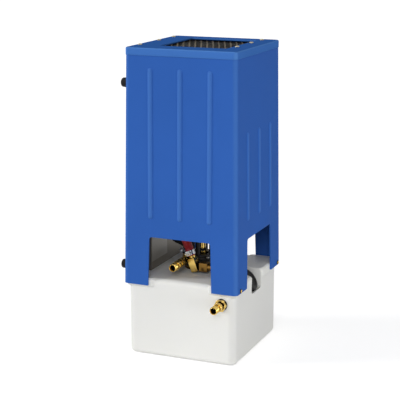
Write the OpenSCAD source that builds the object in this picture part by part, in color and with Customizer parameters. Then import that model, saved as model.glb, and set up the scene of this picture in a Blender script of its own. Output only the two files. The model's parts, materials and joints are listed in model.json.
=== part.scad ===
// Upright coolant unit for a welding torch: a moulded tank carries a tapered cover,
// with the cooling coil, fan, motor and pump stacked on one upright axis inside it.
// Origin: middle of the tank's footprint, on the floor. X right, Y back, Z up.
// The front, where the coolant outlet looks out, faces -Y.

/* [Tank] */
// Width of the tank over its walls
tank_w = 227; // [215:0.5:240]
// Depth of the tank over its walls
tank_d = 240; // [228:0.5:252]
// Height of the tank's deck above the floor
tank_h = 160; // [150:1:190]
// Wall thickness of the tank
tank_t = 3.6; // [2.5:0.1:5]
// Radius of the tank's upright edges
tank_edge_r = 15; // [12:0.5:20]
// Radius of the tank's top and bottom edges
tank_lip_r = 10; // [8:0.5:14]
// How far a corner pad reaches beyond the leg on the front and back
pad_beyond = 12; // [4:1:20]
// Depth over which a corner pad fades into the wall
pad_drop = 22; // [12:1:30]
// Height of a pad's upright edge below the leg end
pad_edge = 2; // [1:0.5:6]
// Width of the bevel along the top of a pad
pad_bevel = 3; // [1:0.5:6]

/* [Filler] */
// Lean of the filler's axis from upright
cap_lean = 52; // [44:1:60]
// Distance of the filler's seat from the tank's wall, measured level
seat_in = 25; // [22:0.5:30]
// Distance of the filler's seat below the deck, measured upright
seat_down = 23.5; // [18:0.5:28]
// Half width of the recess the filler sits in
recess_half = 27; // [26:0.5:34]
// Radius of the filler cap
cap_r = 24.5; // [23:0.5:26]
// Height of the filler cap
cap_h = 13.5; // [12:0.5:20]
// Bore radius of the filler neck
neck_bore_r = 16.5; // [12:0.5:17]
// Wall thickness of the filler neck
neck_t = 3; // [2.5:0.25:4]
// Height of the filler neck above its seat
neck_h = 9.5; // [8:0.5:14]
// Number of grip ribs round the cap
cap_ribs = 20; // [12:1:30]

/* [Cover] */
// How far the leg ends stand outside the tank's side walls
leg_out_w = 6.3; // [5:0.1:9]
// How far the leg ends stand outside the tank's front and back walls
leg_out_d = 5.95; // [5:0.05:9]
// Height of the cover from its leg ends to the seam
cover_h = 450.3; // [430:0.1:520]
// How far each wall leans in over the cover's height
cover_draft = 6; // [2:0.25:8]
// Wall thickness of the cover
cover_t = 3; // [2:0.25:4]
// Radius of the cover's upright edges
cover_r = 9; // [7:0.5:14]
// How far the leg ends reach below the deck
leg_lap = 13.3; // [11:0.1:16]
// Height of the leg openings above the leg ends
open_h = 98.5; // [80:0.5:110]
// Width of the front and back openings at their top
end_open_top = 128.5; // [100:0.5:140]
// Width of the front and back openings at the leg ends
end_open_foot = 134; // [100:0.5:146]
// Width of the side openings at their top
side_open_top = 134; // [110:0.5:150]
// Width of the side openings at the leg ends
side_open_foot = 141; // [110:0.5:156]
// Corner radius of the leg openings
open_r = 5; // [2:0.5:12]
// Width of a stiffening bead
bead_w = 10.5; // [6:0.5:14]
// How far a stiffening bead stands proud
bead_proud = 2.7; // [1:0.1:4]
// Spacing of the three beads on the front and back
end_bead_pitch = 61.2; // [40:0.2:70]
// Spacing of the three beads on the sides
side_bead_pitch = 63.2; // [40:0.2:76]
// Height of the beads' lower ends above the leg ends
bead_low = 140; // [120:1:180]
// Distance of the front and back beads' upper ends below the seam
end_bead_in = 28.3; // [20:0.1:120]
// Distance of the side beads' upper ends below the seam
side_bead_in = 148.3; // [20:0.1:190]

/* [Lid] */
// How far the lid's skirt stands outside the cover's upper edge
lid_out = 0.7; // [0.4:0.1:2]
// Height of the lid's skirt
lid_h = 14.4; // [12:0.2:24]
// Thickness of the lid's top
lid_t = 3; // [2:0.25:4]
// Thickness of the lid's skirt
skirt_t = 2.4; // [1.5:0.1:4]
// Radius of the lid's outer top edge
lid_edge_r = 2.6; // [1:0.1:4]
// Width of the lid's left rail
left_rail = 51.5; // [46:0.5:56]
// Width of the lid's right rail
right_rail = 38.5; // [36:0.5:44]
// Width of the lid's front rail
front_rail = 47.6; // [40:0.2:54]
// Width of the lid's back rail
back_rail = 32.6; // [28:0.2:40]
// Corner radius of the air opening
vent_r = 4; // [3:0.5:12]
// Thickness of the cover's rim inside the skirt
rim_t = 2.6; // [2:0.1:4]

/* [Cooling coil] */
// Distance from the lid's right edge to the fins
coil_right_in = 39.5; // [38:0.5:44]
// Distance from the lid's front and back edges to the coil
coil_end_in = 19.5; // [17:0.5:26]
// Outer radius of the coil's tube
tube_r = 4.76; // [4:0.01:5.2]
// Number of tube columns, always even
tube_columns = 10; // [8:2:10]
// Spacing of the two tube rows
row_gap = 22; // [20:0.5:28]
// Height of the finned core
core_h = 44; // [36:1:56]
// Spacing of the fins
fin_pitch = 6; // [4:0.5:12]
// Thickness of a fin
fin_t = 0.6; // [0.4:0.1:1.5]
// Thickness of the coil's end plates
end_t = 1.4; // [1:0.1:3]
// Width of the end plates' top flanges
flange_w = 20; // [18:1:24]

/* [Fan] */
// Number of blades
fan_blades = 5; // [3:1:7]
// Radius of the fan's hub
hub_r = 21; // [16:0.5:28]
// Height of the fan's hub
hub_h = 22; // [16:1:30]
// Running gap between the blade tips and the shroud
tip_gap = 3; // [2:0.5:6]
// Height of the shroud's ring
ring_h = 24; // [16:1:30]
// Sheet thickness of the shroud
shroud_t = 1.5; // [1:0.1:3]

/* [Motor] */
// Gap between the upright panel's plane and the motor's shell
motor_in = 21.5; // [20:0.5:30]
// Distance from the motor's upper face up to the fan's shroud
shaft_reach = 69.2; // [40:0.2:100]
// Height of the motor's lower face above the deck
motor_rise = 78; // [74:1:90]
// Wall thickness of the motor's shell
shell_t = 2; // [1.5:0.1:4]
// Height of each end bell
bell_h = 32; // [28:1:44]
// Radius of the drive shaft
shaft_r = 6.35; // [5:0.05:8]
// Outer radius of the shaft bearings
bearing_r = 16; // [13:0.5:20]
// Height of the shaft bearings
bearing_h = 10; // [8:0.5:14]
// Radius of the rotor core as a share of the motor's radius
rotor_share = 0.54; // [0.45:0.01:0.58]
// Air gap between rotor and stator
air_gap = 0.6; // [0.4:0.1:1.5]
// Height of the rotor and stator cores
core_len = 90; // [60:1:100]

/* [Pump] */
// Radius of the pump's casing
pump_r = 29; // [26:0.5:32]
// Height of the pump's casing
pump_h = 20; // [19:0.5:28]
// Thickness of the pump's base plate
base_t = 5; // [4:0.5:8]
// Radius of the pump's base plate
base_r = 35; // [33:0.5:38]
// Radius of the impeller
impeller_r = 22; // [18:0.5:23]
// Height of the impeller
impeller_h = 10; // [8:0.5:12]
// Number of impeller vanes
impeller_vanes = 24; // [12:1:30]
// Outer radius of the two ports
port_r = 8.6; // [8.2:0.1:10]
// Bore radius of the two ports
port_bore_r = 6.6; // [5:0.1:7]
// Distance from the shaft to the suction port
suction_dx = 25; // [24:0.5:28]
// Length of the suction elbow's arm
suction_arm = 31; // [26:1:40]

/* [Fittings] */
// Thread radius of the coolant fittings
nose_r = 7.94; // [6:0.01:10]
// Bore radius of the coolant fittings
nose_bore_r = 4.4; // [3:0.1:5]
// Length of the threaded nose
nose_len = 11; // [8:0.5:16]
// Length of the return fitting outside the tank
return_len = 43; // [34:1:60]
// Distance of the return fitting from the tank's right wall
return_in = 27.5; // [24:0.5:50]
// Distance of the return fitting below the deck
return_down = 35.5; // [34:0.5:60]
// Distance from the shaft to the outlet's elbow, front to back
outlet_front = 40.5; // [40:0.5:46]
// Place of the outlet fitting to the right of the middle
outlet_x = -23.2; // [-28:0.2:-22]
// Distance of the outlet fitting's axis below the pump casing's top
outlet_under = 3.6; // [3.2:0.1:8]
// Gap between the outlet's nose and the plane of the front wall
outlet_in = 20; // [16:1:30]
// Bore radius of the hoses
hose_bore_r = 5.4; // [5:0.05:6]
// Outer radius of the hoses
hose_r = 8.8; // [8:0.1:9]
// Turn of the outlet block about its port
block_turn = 20; // [0:1:24]

/* [Chassis] */
// Sheet thickness of the upright panel
panel_t = 1.6; // [1:0.1:3]
// Distance from the cover's leg ends to the panel's outer face
panel_in = 32.8; // [28:0.2:36]
// How far the upright panel stands above the upper cradle channel
panel_over = 16; // [8:1:26]
// Distance from the cover's front leg ends back to the panel
panel_front_in = 57; // [50:0.5:66]
// Distance from the cover's back leg ends forward to the panel
panel_back_in = 28; // [22:0.5:42]
// Width of the panel's foot
foot_w = 9; // [8:0.5:14]
// Sheet thickness of the motor cradle
cradle_t = 2.5; // [2:0.1:4]
// Height of a cradle channel
cradle_h = 32; // [26:1:40]
// Width of a cradle channel
cradle_w = 76; // [60:1:84]

/* [Trim] */
// Radius of a bumper foot
bumper_r = 10.5; // [8:0.5:13]
// Height of a bumper foot
bumper_h = 16; // [10:0.5:20]
// Distance of the bumper feet from the front and back leg ends
bumper_in = 29; // [22:0.5:46]
// Height of the lower bumper feet above the leg ends
bumper_low = 30.5; // [20:0.5:60]
// Distance of the upper bumper feet below the seam
bumper_down = 56.3; // [40:0.1:90]
// Width of the switch bezel
bezel_w = 15; // [13:0.5:20]
// Height of the switch bezel
bezel_h = 21; // [19:0.5:26]
// Swing of the rocker between off and on
rocker_swing = 24; // [16:1:30]
// Place of the switch to the left of the middle, seen from behind
switch_x = 29; // [24:1:32]
// Height of the switch and cord gland above the leg ends
rear_up = 119.5; // [116:0.5:122]
// Radius of the cord gland's head
gland_r = 10.5; // [8:0.5:13]
// Place of the cord gland to the right of the middle, seen from behind
gland_x = 31; // [26:1:34]

/* [Hidden] */
$fn = 64;
soft_fn = 32;
cut = 1;
film = 0.02;
run_gap = 0.05;
seat_gap = 0.1;
slip_gap = 0.3;
press_gap = 0.025;

blue = [0.16, 0.39, 0.72];
dark_blue = [0.12, 0.33, 0.64];
white = [0.91, 0.91, 0.89];
brass = [0.80, 0.63, 0.27];
black = [0.07, 0.07, 0.08];
dark_iron = [0.16, 0.15, 0.15];
steel = [0.66, 0.67, 0.68];
zinc = [0.50, 0.48, 0.44];
copper = [0.62, 0.36, 0.22];
red = [0.66, 0.13, 0.16];

// Levels and half sizes that several pieces share
cover_w = tank_w + 2 * leg_out_w;
cover_d = tank_d + 2 * leg_out_d;
lid_w = cover_w - 2 * cover_draft + 2 * lid_out;
lid_d = cover_d - 2 * cover_draft + 2 * lid_out;
vent_w = lid_w - left_rail - right_rail;
vent_d = lid_d - front_rail - back_rail;
vent_x = (left_rail - right_rail) / 2;
vent_y = (front_rail - back_rail) / 2;
return_x = tank_w / 2 - return_in;
return_z = tank_h - return_down;
leg_z = tank_h - leg_lap;
seam_z = leg_z + cover_h;
top_z = seam_z + lid_h;
tilt = atan(cover_draft / cover_h);
function half_w(z) = cover_w / 2 - cover_draft * (z - leg_z) / cover_h;
function half_d(z) = cover_d / 2 - cover_draft * (z - leg_z) / cover_h;
function wall_at(side, z) = side % 2 == 0 ? half_d(z) : half_w(z);

// Inside of the cover at its rim
rim_out_w = lid_w - 2 * (skirt_t + slip_gap);
rim_out_d = lid_d - 2 * (skirt_t + slip_gap);
rim_shoulder = 6;
rim_top_z = top_z - lid_t - slip_gap;

// Leg screws
pad_face = cover_w / 2 - cover_t - slip_gap;
leg_screw_up = 5;
leg_screw_z = leg_z + leg_screw_up;
front_screw_in = 21;
rear_screw_in = 16;
front_screw_y = front_screw_in - cover_d / 2;
rear_screw_y = cover_d / 2 - rear_screw_in;
leg_screw_r = 1.9;
leg_head_r = 3;
leg_head_h = 1.6;
leg_washer_r = 4.3;
leg_washer_t = 0.9;
insert_r = 3.4;
insert_len = 5.6;
leg_screw_len = 8.6;
leg_hole_r = leg_screw_r + slip_gap;

// Coil
fin_drop = 5.88;
core_top_z = rim_top_z - fin_drop;
core_mid_z = core_top_z - core_h / 2;
core_low_z = core_top_z - core_h;
low_row_z = core_mid_z - row_gap / 2;
tube_gap = 0.2;
stub_bend_r = 9;
bend_lead = 2;
stub_drop = 34;
stub_end_z = low_row_z - stub_bend_r - stub_drop;
hose_wall_gap = 1.5;
// Rounds a size to the seat gap, so that the ends of tubes and bends meet exactly
function neat(size) = seat_gap * round(size / seat_gap);
stub_x = neat(cover_t + hose_wall_gap + hose_r - half_w(stub_end_z));
coil_left = stub_x + stub_bend_r + bend_lead + end_t;
coil_right = lid_w / 2 - coil_right_in;
coil_len = coil_right - coil_left;
coil_x = (coil_left + coil_right) / 2;
coil_depth = lid_d - 2 * coil_end_in;
tube_pitch = neat((coil_depth - 2 * end_t - 2 * tube_r) / tube_columns);
fin_count = floor((coil_len - 2 * fin_pitch) / fin_pitch);
function column_y(i) = (i - (tube_columns - 1) / 2) * tube_pitch;

// Screws through the lid's rails into the coil's flanges
left_screw_in = 11;
right_screw_in = 8;
left_screw_x = left_screw_in - lid_w / 2;
right_screw_x = coil_right + end_t + right_screw_in;
left_screw_shares = [-0.6, 0.13, 0.73];
right_screw_shares = [-0.335, 0.305, 0.8];
lid_screw_r = 1.9;
lid_head_r = 4.2;
lid_head_h = 2.6;
lid_screw_len = 9;
lid_hole_r = lid_screw_r + slip_gap;
left_flange_w = rim_out_w / 2 - rim_t + coil_left - slip_gap;

// Drive line, all on one upright axis
drive_off = 2.5;
drive_x = coil_x + drive_off;
tray_h = 11;
tray_z = core_low_z - tray_h;
ring_low_z = tray_z - ring_h;
panel_x = panel_in - cover_w / 2;
motor_r = drive_x - panel_x - motor_in;
rotor_r = motor_r * rotor_share;
motor_low_z = tank_h + motor_rise;
motor_h = ring_low_z - shaft_reach - motor_low_z;
motor_top_z = motor_low_z + motor_h;
ring_in = 0.5;
ring_r = coil_len / 2 - drive_off - 2 * shroud_t - ring_in;
fan_r = ring_r - tip_gap;
fan_mid_z = ring_low_z + ring_h / 2;
shaft_over = 4;
shaft_top_z = fan_mid_z + hub_h / 2 + shaft_over;
rotor_mid_z = (motor_low_z + motor_top_z) / 2;
bell_t = 4;
bell_hub_r = bearing_r + bell_t;
bolt_r = 2.4;
bolt_ring_r = motor_r - shell_t - bolt_r - 2 * slip_gap;

// Pump levels
base_z = tank_h + seat_gap;
casing_z = base_z + base_t;
casing_top_z = casing_z + pump_h;
chamber_gap = 1;
chamber_h = impeller_h + chamber_gap;
port_z = casing_z + port_r;
port_face = 9;
port_y = -pump_r - port_face;
lug_r = 4.4;
lug_head_r = 3.4;
lug_out = 1.5;
lug_ring_r = pump_r + lug_out;
gland_ring_r = 12;
gland_ring_h = 9;
gland_neck_in = 1.5;
slinger_r = 10;
slinger_h = 3;
sleeve_t = 0.9;
lantern_r = 26;
lantern_bore_r = gland_ring_r + 2;
lantern_t = 4;
lantern_top_r = 40;
lantern_post_r = 4.5;
lantern_post_ring = 20.5;

// Suction line
suction_x = drive_x + suction_dx;
elbow_half = 8.4;
elbow_arm_r = 7.6;
elbow_end_r = 8.8;
elbow_skirt_r = 8.3;
suction_y = port_y - elbow_half - slip_gap;
dip_x = suction_x + suction_arm;
dip_r = 6;
dip_t = 1.2;
dip_low = 12;
dip_top_z = port_z - elbow_half / 2;
grommet_r = 8.4;
grommet_lip = 2.4;
grommet_lip_t = 1.6;
strainer_r = 12;
strainer_h = 30;
strainer_low = 7;
strainer_t = 1.2;

// Outlet line
outlet_z = casing_top_z - outlet_under;
outlet_elbow_r = 8.6;
outlet_len = cover_d / 2 - outlet_in - outlet_front + outlet_elbow_r;
outlet_leg_back = 25;
outlet_leg_len = 3.5;
barb_r = hose_bore_r - 3 * seat_gap;
barb_len = 13;
barb_bore_in = 1.2;
block_x = drive_x + 5;
block_w = 14;
block_d = 20;
block_h = 27;
block_up = 3.5;
block_neck_h = 5;
block_neck_r = 7;
block_y = port_y - slip_gap - block_d;
spigot_len = 7;
spigot_gap = 0.4;

barb_bore_r = nose_bore_r - barb_bore_in;
stud_r = 3;
stud_bite = 8;
stud_len = norm([drive_x - outlet_x, outlet_front]) - pump_r + stud_bite;
stud_heading = atan2(outlet_front, drive_x - outlet_x);

// Hose routes, in round numbers chosen by hand between their fixed ends
hose_sides = 12;
hose_steps = 5;
clamp_w = 9;
clamp_t = 0.8;
clamp_back = 2;
clamp_screw_r = 2.4;
clamp_screw_len = 13;

// Filler
recess_r = 6;
seat_x = tank_w / 2 - seat_in;
seat_z = tank_h - seat_down;
liner_t = 1.6;
cap_bevel = 2.4;
cap_rib_r = 1.1;
cap_clear = 1.2;

// Chassis
screw_r = 2;
screw_head_r = 4;
screw_head_h = 2.4;
band_t = 1.2;
band_h = 18;
band_ear = 9;
panel_front = panel_front_in - cover_d / 2;
panel_back = cover_d / 2 - panel_back_in;
foot_screw_shares = [0.06, 0.94];
cradle_shares = [0.204, 0.63];
function cradle_z(k) = motor_low_z + cradle_shares[k] * motor_h;

// Bumper feet
bumper_y = cover_d / 2 - bumper_in;
bumper_ups = [bumper_low, cover_h - bumper_down];

// Rear trim
rear_z = leg_z + rear_up;
rear_wall_y = half_d(rear_z);
bezel_t = 2;
rocker_w = 9;
rocker_r = 7.2;
rocker_set = 2;
rocker_base = 3;
rocker_crown = 2.6;
rocker_rise = rocker_crown + rocker_r * tan(rocker_swing / 2);
switch_body_d = 18;
switch_wall = 1.4;
body_w = bezel_w - 2 * (switch_wall + seat_gap);
body_h = bezel_h - 2 * (switch_wall + seat_gap);
gland_neck_r = 7;
gland_bore_r = 4.2;
gland_head_h = 12;
gland_tail = 12;
lead_r = 3;
lead_sides = 8;

// Shared shapes

// Flat outline with round corners, centred
module round_rect(w, d, r) {
    square([w - 2 * r, d], center = true);
    square([w, d - 2 * r], center = true);
    for (sx = [-1, 1], sy = [-1, 1])
        translate([sx * (w / 2 - r), sy * (d / 2 - r)]) circle(r = r);
}

// Block with round upright edges whose four walls lean in from z0 up to z1
module leaning_block(inset, z0, z1) {
    r = cover_r - inset / 2;
    hull() {
        translate([0, 0, z0]) linear_extrude(film)
            round_rect(2 * (half_w(z0) - inset), 2 * (half_d(z0) - inset), r, $fn = soft_fn);
        translate([0, 0, z1 - film]) linear_extrude(film)
            round_rect(2 * (half_w(z1) - inset), 2 * (half_d(z1) - inset), r, $fn = soft_fn);
    }
}

// Block with round upright edges and softened top and bottom edges
module soft_block(w, d, h, edge_r, lip_r, lip_steps) {
    hull() for (sx = [-1, 1], sy = [-1, 1])
        translate([sx * (w / 2 - edge_r), sy * (d / 2 - edge_r), 0])
            rotate_extrude($fn = soft_fn) polygon(concat(
                [[0, 0]],
                [for (i = [0 : lip_steps]) [edge_r - lip_r + lip_r * sin(90 * i / lip_steps),
                    lip_r - lip_r * cos(90 * i / lip_steps)]],
                [for (i = [0 : lip_steps]) [edge_r - lip_r + lip_r * cos(90 * i / lip_steps),
                    h - lip_r + lip_r * sin(90 * i / lip_steps)]],
                [[0, h]]));
}

// Turns a shape made for the front wall to another side: 0 front, 1 right, 2 back, 3 left
module on_side(side) {
    rotate([0, 0, 90 * side]) children();
}

// Round bar or bore that points along -Y from the place given
module forward(place, length, r) {
    translate(place) rotate([90, 0, 0]) cylinder(h = length, r = r);
}

// Plain ring with an upright axis
module ring(r_out, r_in, h) {
    difference() {
        cylinder(h = h, r = r_out);
        translate([0, 0, -cut]) cylinder(h = h + 2 * cut, r = r_in);
    }
}

// Six-sided bar given across its flats, upright
module hex_bar(flats, h) {
    cylinder(h = h, r = flats / sqrt(3), $fn = 6);
}

// Domed screw with its head's seat at the origin and its stem pointing down
module pan_screw(head_r, head_h, stem_r, stem_len) {
    difference() {
        union() {
            rotate_extrude() polygon(concat([[0, 0], [head_r, 0]],
                [for (i = [0 : 6]) [head_r * cos(15 * i), head_h / 3 + head_h * 2 / 3 * sin(15 * i)]]));
            translate([0, 0, -stem_len]) cylinder(h = stem_len + film, r = stem_r);
        }
        for (a = [0, 90]) rotate([0, 0, a])
            translate([-head_r / 2, -head_r / 8, head_h * 0.6]) cube([head_r, head_r / 4, head_h]);
    }
}

// Curve through chosen points, whose heading at each one leans towards the nearer neighbour
function slope(p, i) = let (back = max(i - 1, 0), on = min(i + 1, len(p) - 1),
    a = norm(p[i] - p[back]), b = norm(p[on] - p[i]))
    a == 0 ? (p[on] - p[i]) / b : b == 0 ? (p[i] - p[back]) / a
    : ((p[i] - p[back]) * b / a + (p[on] - p[i]) * a / b) / (a + b);
function bend(p, i, t) = let (step = p[i + 1] - p[i],
    from = norm(step) * slope(p, i), to = norm(step) * slope(p, i + 1))
    p[i] + from * t + (3 * step - 2 * from - to) * t * t + (from + to - 2 * step) * t * t * t;
function curve(p, n) = let (m = len(p) - 1)
    concat([for (i = [0 : m - 1], k = [0 : n - 1]) bend(p, i, k / n)], [p[m]]);
function unit(v) = v / norm(v);
function heading(q, i) = unit(q[min(i + 1, len(q) - 1)] - q[max(i - 1, 0)]);
function ring_at(c, t, r, sides) = let (u = unit(cross([0, 1, 0], t)), v = cross(t, u))
    [for (k = [0 : sides - 1]) c + r * (cos(360 * k / sides) * u + sin(360 * k / sides) * v)];

// Hollow tube swept along a curve
module swept_tube(q, r_out, r_in, sides) {
    n = len(q);
    outer = [for (i = [0 : n - 1]) each ring_at(q[i], heading(q, i), r_out, sides)];
    inner = [for (i = [0 : n - 1]) each ring_at(q[i], heading(q, i), r_in, sides)];
    far = n * sides;
    last = (n - 1) * sides;
    polyhedron(points = concat(outer, inner), faces = concat(
        [for (i = [0 : n - 2], k = [0 : sides - 1]) let (j = (k + 1) % sides)
            each [[i * sides + k, (i + 1) * sides + k, (i + 1) * sides + j],
                [i * sides + k, (i + 1) * sides + j, i * sides + j]]],
        [for (i = [0 : n - 2], k = [0 : sides - 1]) let (j = (k + 1) % sides)
            each [[far + i * sides + k, far + (i + 1) * sides + j, far + (i + 1) * sides + k],
                [far + i * sides + k, far + i * sides + j, far + (i + 1) * sides + j]]],
        [for (k = [0 : sides - 1]) let (j = (k + 1) % sides)
            each [[k, j, far + j], [k, far + j, far + k],
                [last + k, far + last + j, last + j], [last + k, far + last + k, far + last + j]]]));
}

// Solid round cable swept along a curve
module swept_cable(q, r, sides) {
    n = len(q);
    last = (n - 1) * sides;
    polyhedron(points = [for (i = [0 : n - 1]) each ring_at(q[i], heading(q, i), r, sides)],
        faces = concat(
        [for (i = [0 : n - 2], k = [0 : sides - 1]) let (j = (k + 1) % sides)
            each [[i * sides + k, (i + 1) * sides + k, (i + 1) * sides + j],
                [i * sides + k, (i + 1) * sides + j, i * sides + j]]],
        [for (k = [1 : sides - 2]) [0, k, k + 1]],
        [for (k = [1 : sides - 2]) [last, last + k + 1, last + k]]));
}

// Tank

module corner_pad() {
    out_w = cover_w / 2 - cover_t - slip_gap;
    out_d = cover_d / 2 - cover_t - slip_gap;
    in_w = end_open_foot / 2 - pad_beyond;
    w = out_w - in_w;
    d = out_d - recess_half;
    hull() {
        translate([in_w + w / 2, recess_half + d / 2, leg_z - pad_edge])
            linear_extrude(leg_lap + pad_edge - pad_bevel) round_rect(w, d, cover_r, $fn = soft_fn);
        translate([in_w + w / 2, recess_half + d / 2, tank_h - film])
            linear_extrude(film)
                round_rect(w - 2 * pad_bevel, d - 2 * pad_bevel, cover_r - pad_bevel, $fn = soft_fn);
        translate([in_w + pad_drop / 2, recess_half, leg_z - pad_edge - pad_drop])
            cube([tank_w / 2 - tank_edge_r - in_w - pad_drop / 2,
                tank_d / 2 - tank_edge_r - recess_half, film]);
    }
}

// Anything on the filler's axis, from its seat outwards
module on_filler() {
    translate([seat_x, 0, seat_z]) rotate([0, cap_lean, 0]) children();
}

// Recess round the filler: everything outside its sloping seat, grown by the wall asked for
module seat_cut(grow) {
    on_filler() translate([0, 0, -grow]) linear_extrude(tank_h)
        round_rect(2 * (recess_half + grow), 2 * (recess_half + grow), recess_r + grow);
}

module tank() color(white) {
    difference() {
        union() {
            difference() {
                union() {
                    soft_block(tank_w, tank_d, tank_h, tank_edge_r, tank_lip_r, 6);
                    for (sx = [0, 1], sy = [0, 1]) mirror([sx, 0, 0]) mirror([0, sy, 0]) corner_pad();
                }
                seat_cut(0);
            }
            on_filler() translate([0, 0, -tank_t / 2])
                cylinder(h = neck_h + tank_t / 2, r = neck_bore_r + neck_t);
        }
        difference() {
            translate([0, 0, tank_t]) soft_block(tank_w - 2 * tank_t, tank_d - 2 * tank_t,
                tank_h - 2 * tank_t, tank_edge_r - tank_t, tank_lip_r - tank_t, 3);
            seat_cut(tank_t);
        }
        on_filler() translate([0, 0, -2 * tank_t]) cylinder(h = neck_h + 3 * tank_t, r = neck_bore_r);
        forward([return_x, -tank_d / 2 + tank_t + cut, return_z], tank_t + 2 * cut, nose_r + slip_gap);
        forward([return_x, -tank_d / 2, return_z], 2 * leg_out_d, return_hex / sqrt(3) + 2 * slip_gap);
        translate([dip_x, suction_y, tank_h - tank_t - cut]) cylinder(h = tank_t + 2 * cut, r = grommet_r);
        for (sx = [-1, 1], y = [front_screw_y, rear_screw_y])
            translate([sx * (pad_face - insert_len / 2 + cut / 2), y, leg_screw_z]) rotate([0, 90, 0])
                cylinder(h = insert_len + cut, r = insert_r + seat_gap, center = true);
    }
}

// Threaded inserts that the leg screws bite into
module leg_inserts() color(brass)
    for (sx = [-1, 1], y = [front_screw_y, rear_screw_y])
        translate([sx * (pad_face - insert_len / 2 - seat_gap), y, leg_screw_z]) rotate([0, 90, 0])
            difference() {
                cylinder(h = insert_len - 2 * seat_gap, r = insert_r, center = true);
                cylinder(h = insert_len + cut, r = leg_screw_r + seat_gap, center = true);
            }

// Filler cap and its liner

module cap_liner() color(black)
    on_filler() translate([0, 0, neck_h + slip_gap])
        ring(neck_bore_r + neck_t - seat_gap, neck_bore_r - neck_t, liner_t);

module filler_cap() color(black)
    on_filler() translate([0, 0, cap_clear]) {
        difference() {
            rotate_extrude() polygon([[0, 0], [cap_r - cap_bevel / 2, 0], [cap_r, cap_bevel / 2],
                [cap_r, cap_h - cap_bevel], [cap_r - cap_bevel, cap_h],
                [cap_r - 3 * cap_bevel, cap_h], [cap_r - 3.5 * cap_bevel, cap_h - cap_bevel / 2],
                [0, cap_h - cap_bevel / 2]]);
            translate([0, 0, -cut])
                cylinder(h = neck_h - cap_clear + 2 * slip_gap + liner_t + cut,
                r = neck_bore_r + neck_t + slip_gap);
        }
        for (i = [0 : cap_ribs - 1]) rotate([0, 0, 360 * i / cap_ribs])
            translate([cap_r - cap_rib_r / 4, 0, cap_bevel])
                cylinder(h = cap_h - 2.5 * cap_bevel, r = cap_rib_r, $fn = 16);
    }

// Return fitting on the tank's front

return_hex = 22;
return_hex_h = 8;
return_tail = 17;
return_washer_t = 2;
return_washer_r = 12;
return_nut_h = 7;
fitting_groove = 1.8;

// Turned body of a coolant fitting, nose up, standing on its root at zero
module coolant_fitting(length, hex, hex_h, rings) {
    waist_r = nose_r - fitting_groove;
    difference() {
        union() {
            hex_bar(hex, hex_h);
            cylinder(h = length, r = waist_r);
            translate([0, 0, length - nose_len]) cylinder(h = nose_len - fitting_groove / 2, r = nose_r);
            translate([0, 0, length - fitting_groove / 2])
                cylinder(h = fitting_groove / 2, r1 = nose_r, r2 = nose_r - fitting_groove / 2);
            pitch = (length - nose_len - hex_h) / (rings + 0.5);
            for (i = [0 : rings - 1])
                translate([0, 0, hex_h + pitch * (i + 0.35)])
                    cylinder(h = pitch * 0.55, r = nose_r + fitting_groove / 3);
        }
        translate([0, 0, -cut]) cylinder(h = length + 2 * cut, r = nose_bore_r);
        translate([0, 0, length - nose_len / 3])
            cylinder(h = nose_len, r1 = nose_bore_r, r2 = nose_bore_r + nose_len * 0.6);
    }
}

module return_fitting() color(brass)
    translate([return_x, -tank_d / 2 - return_washer_t, return_z]) rotate([90, 0, 0]) {
        coolant_fitting(return_len - return_washer_t, return_hex, return_hex_h, 1);
        translate([0, 0, -return_tail]) ring(nose_r, nose_bore_r, return_tail + film);
    }

module return_washer() color(black)
    translate([return_x, -tank_d / 2 - return_washer_t + seat_gap / 2, return_z]) rotate([90, 0, 0])
        translate([0, 0, -return_washer_t + seat_gap])
            ring(return_washer_r, nose_r + seat_gap, return_washer_t - seat_gap);

module return_nut() color(brass)
    translate([return_x, -tank_d / 2 + tank_t + seat_gap, return_z]) rotate([-90, 0, 0]) difference() {
        hex_bar(return_hex, return_nut_h);
        translate([0, 0, -cut]) cylinder(h = return_nut_h + 2 * cut, r = nose_r + seat_gap);
    }

// Suction line through the deck

module deck_grommet() color(black)
    translate([dip_x, suction_y, tank_h - tank_t - grommet_lip_t]) difference() {
        union() {
            translate([0, 0, grommet_lip_t + seat_gap]) cylinder(h = tank_t, r = grommet_r - seat_gap);
            translate([0, 0, grommet_lip_t + tank_t + seat_gap])
                cylinder(h = grommet_lip_t, r = grommet_r + grommet_lip);
            cylinder(h = grommet_lip_t - seat_gap, r = grommet_r + grommet_lip);
            cylinder(h = grommet_lip_t + tank_t, r = grommet_r - seat_gap);
        }
        translate([0, 0, -cut]) cylinder(h = tank_t + 3 * grommet_lip_t + cut, r = dip_r + seat_gap);
    }

module dip_tube() color([0.75, 0.77, 0.78])
    translate([dip_x, suction_y, dip_low]) ring(dip_r, dip_r - dip_t, dip_top_z - dip_low);

module strainer() color(steel)
    translate([dip_x, suction_y, strainer_low]) difference() {
        cylinder(h = strainer_h, r = strainer_r);
        translate([0, 0, strainer_t])
            cylinder(h = strainer_h - 2 * strainer_t, r = strainer_r - strainer_t);
        translate([0, 0, strainer_t]) cylinder(h = strainer_h, r = dip_r + seat_gap);
        for (k = [0 : 3], a = [0 : 45 : 315]) rotate([0, 0, a + 22.5 * (k % 2)])
            translate([strainer_r - 2 * strainer_t, 0, strainer_h * (0.2 + 0.2 * k)]) rotate([0, 90, 0])
                cylinder(h = 4 * strainer_t, r = strainer_t, $fn = 16);
    }

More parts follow.
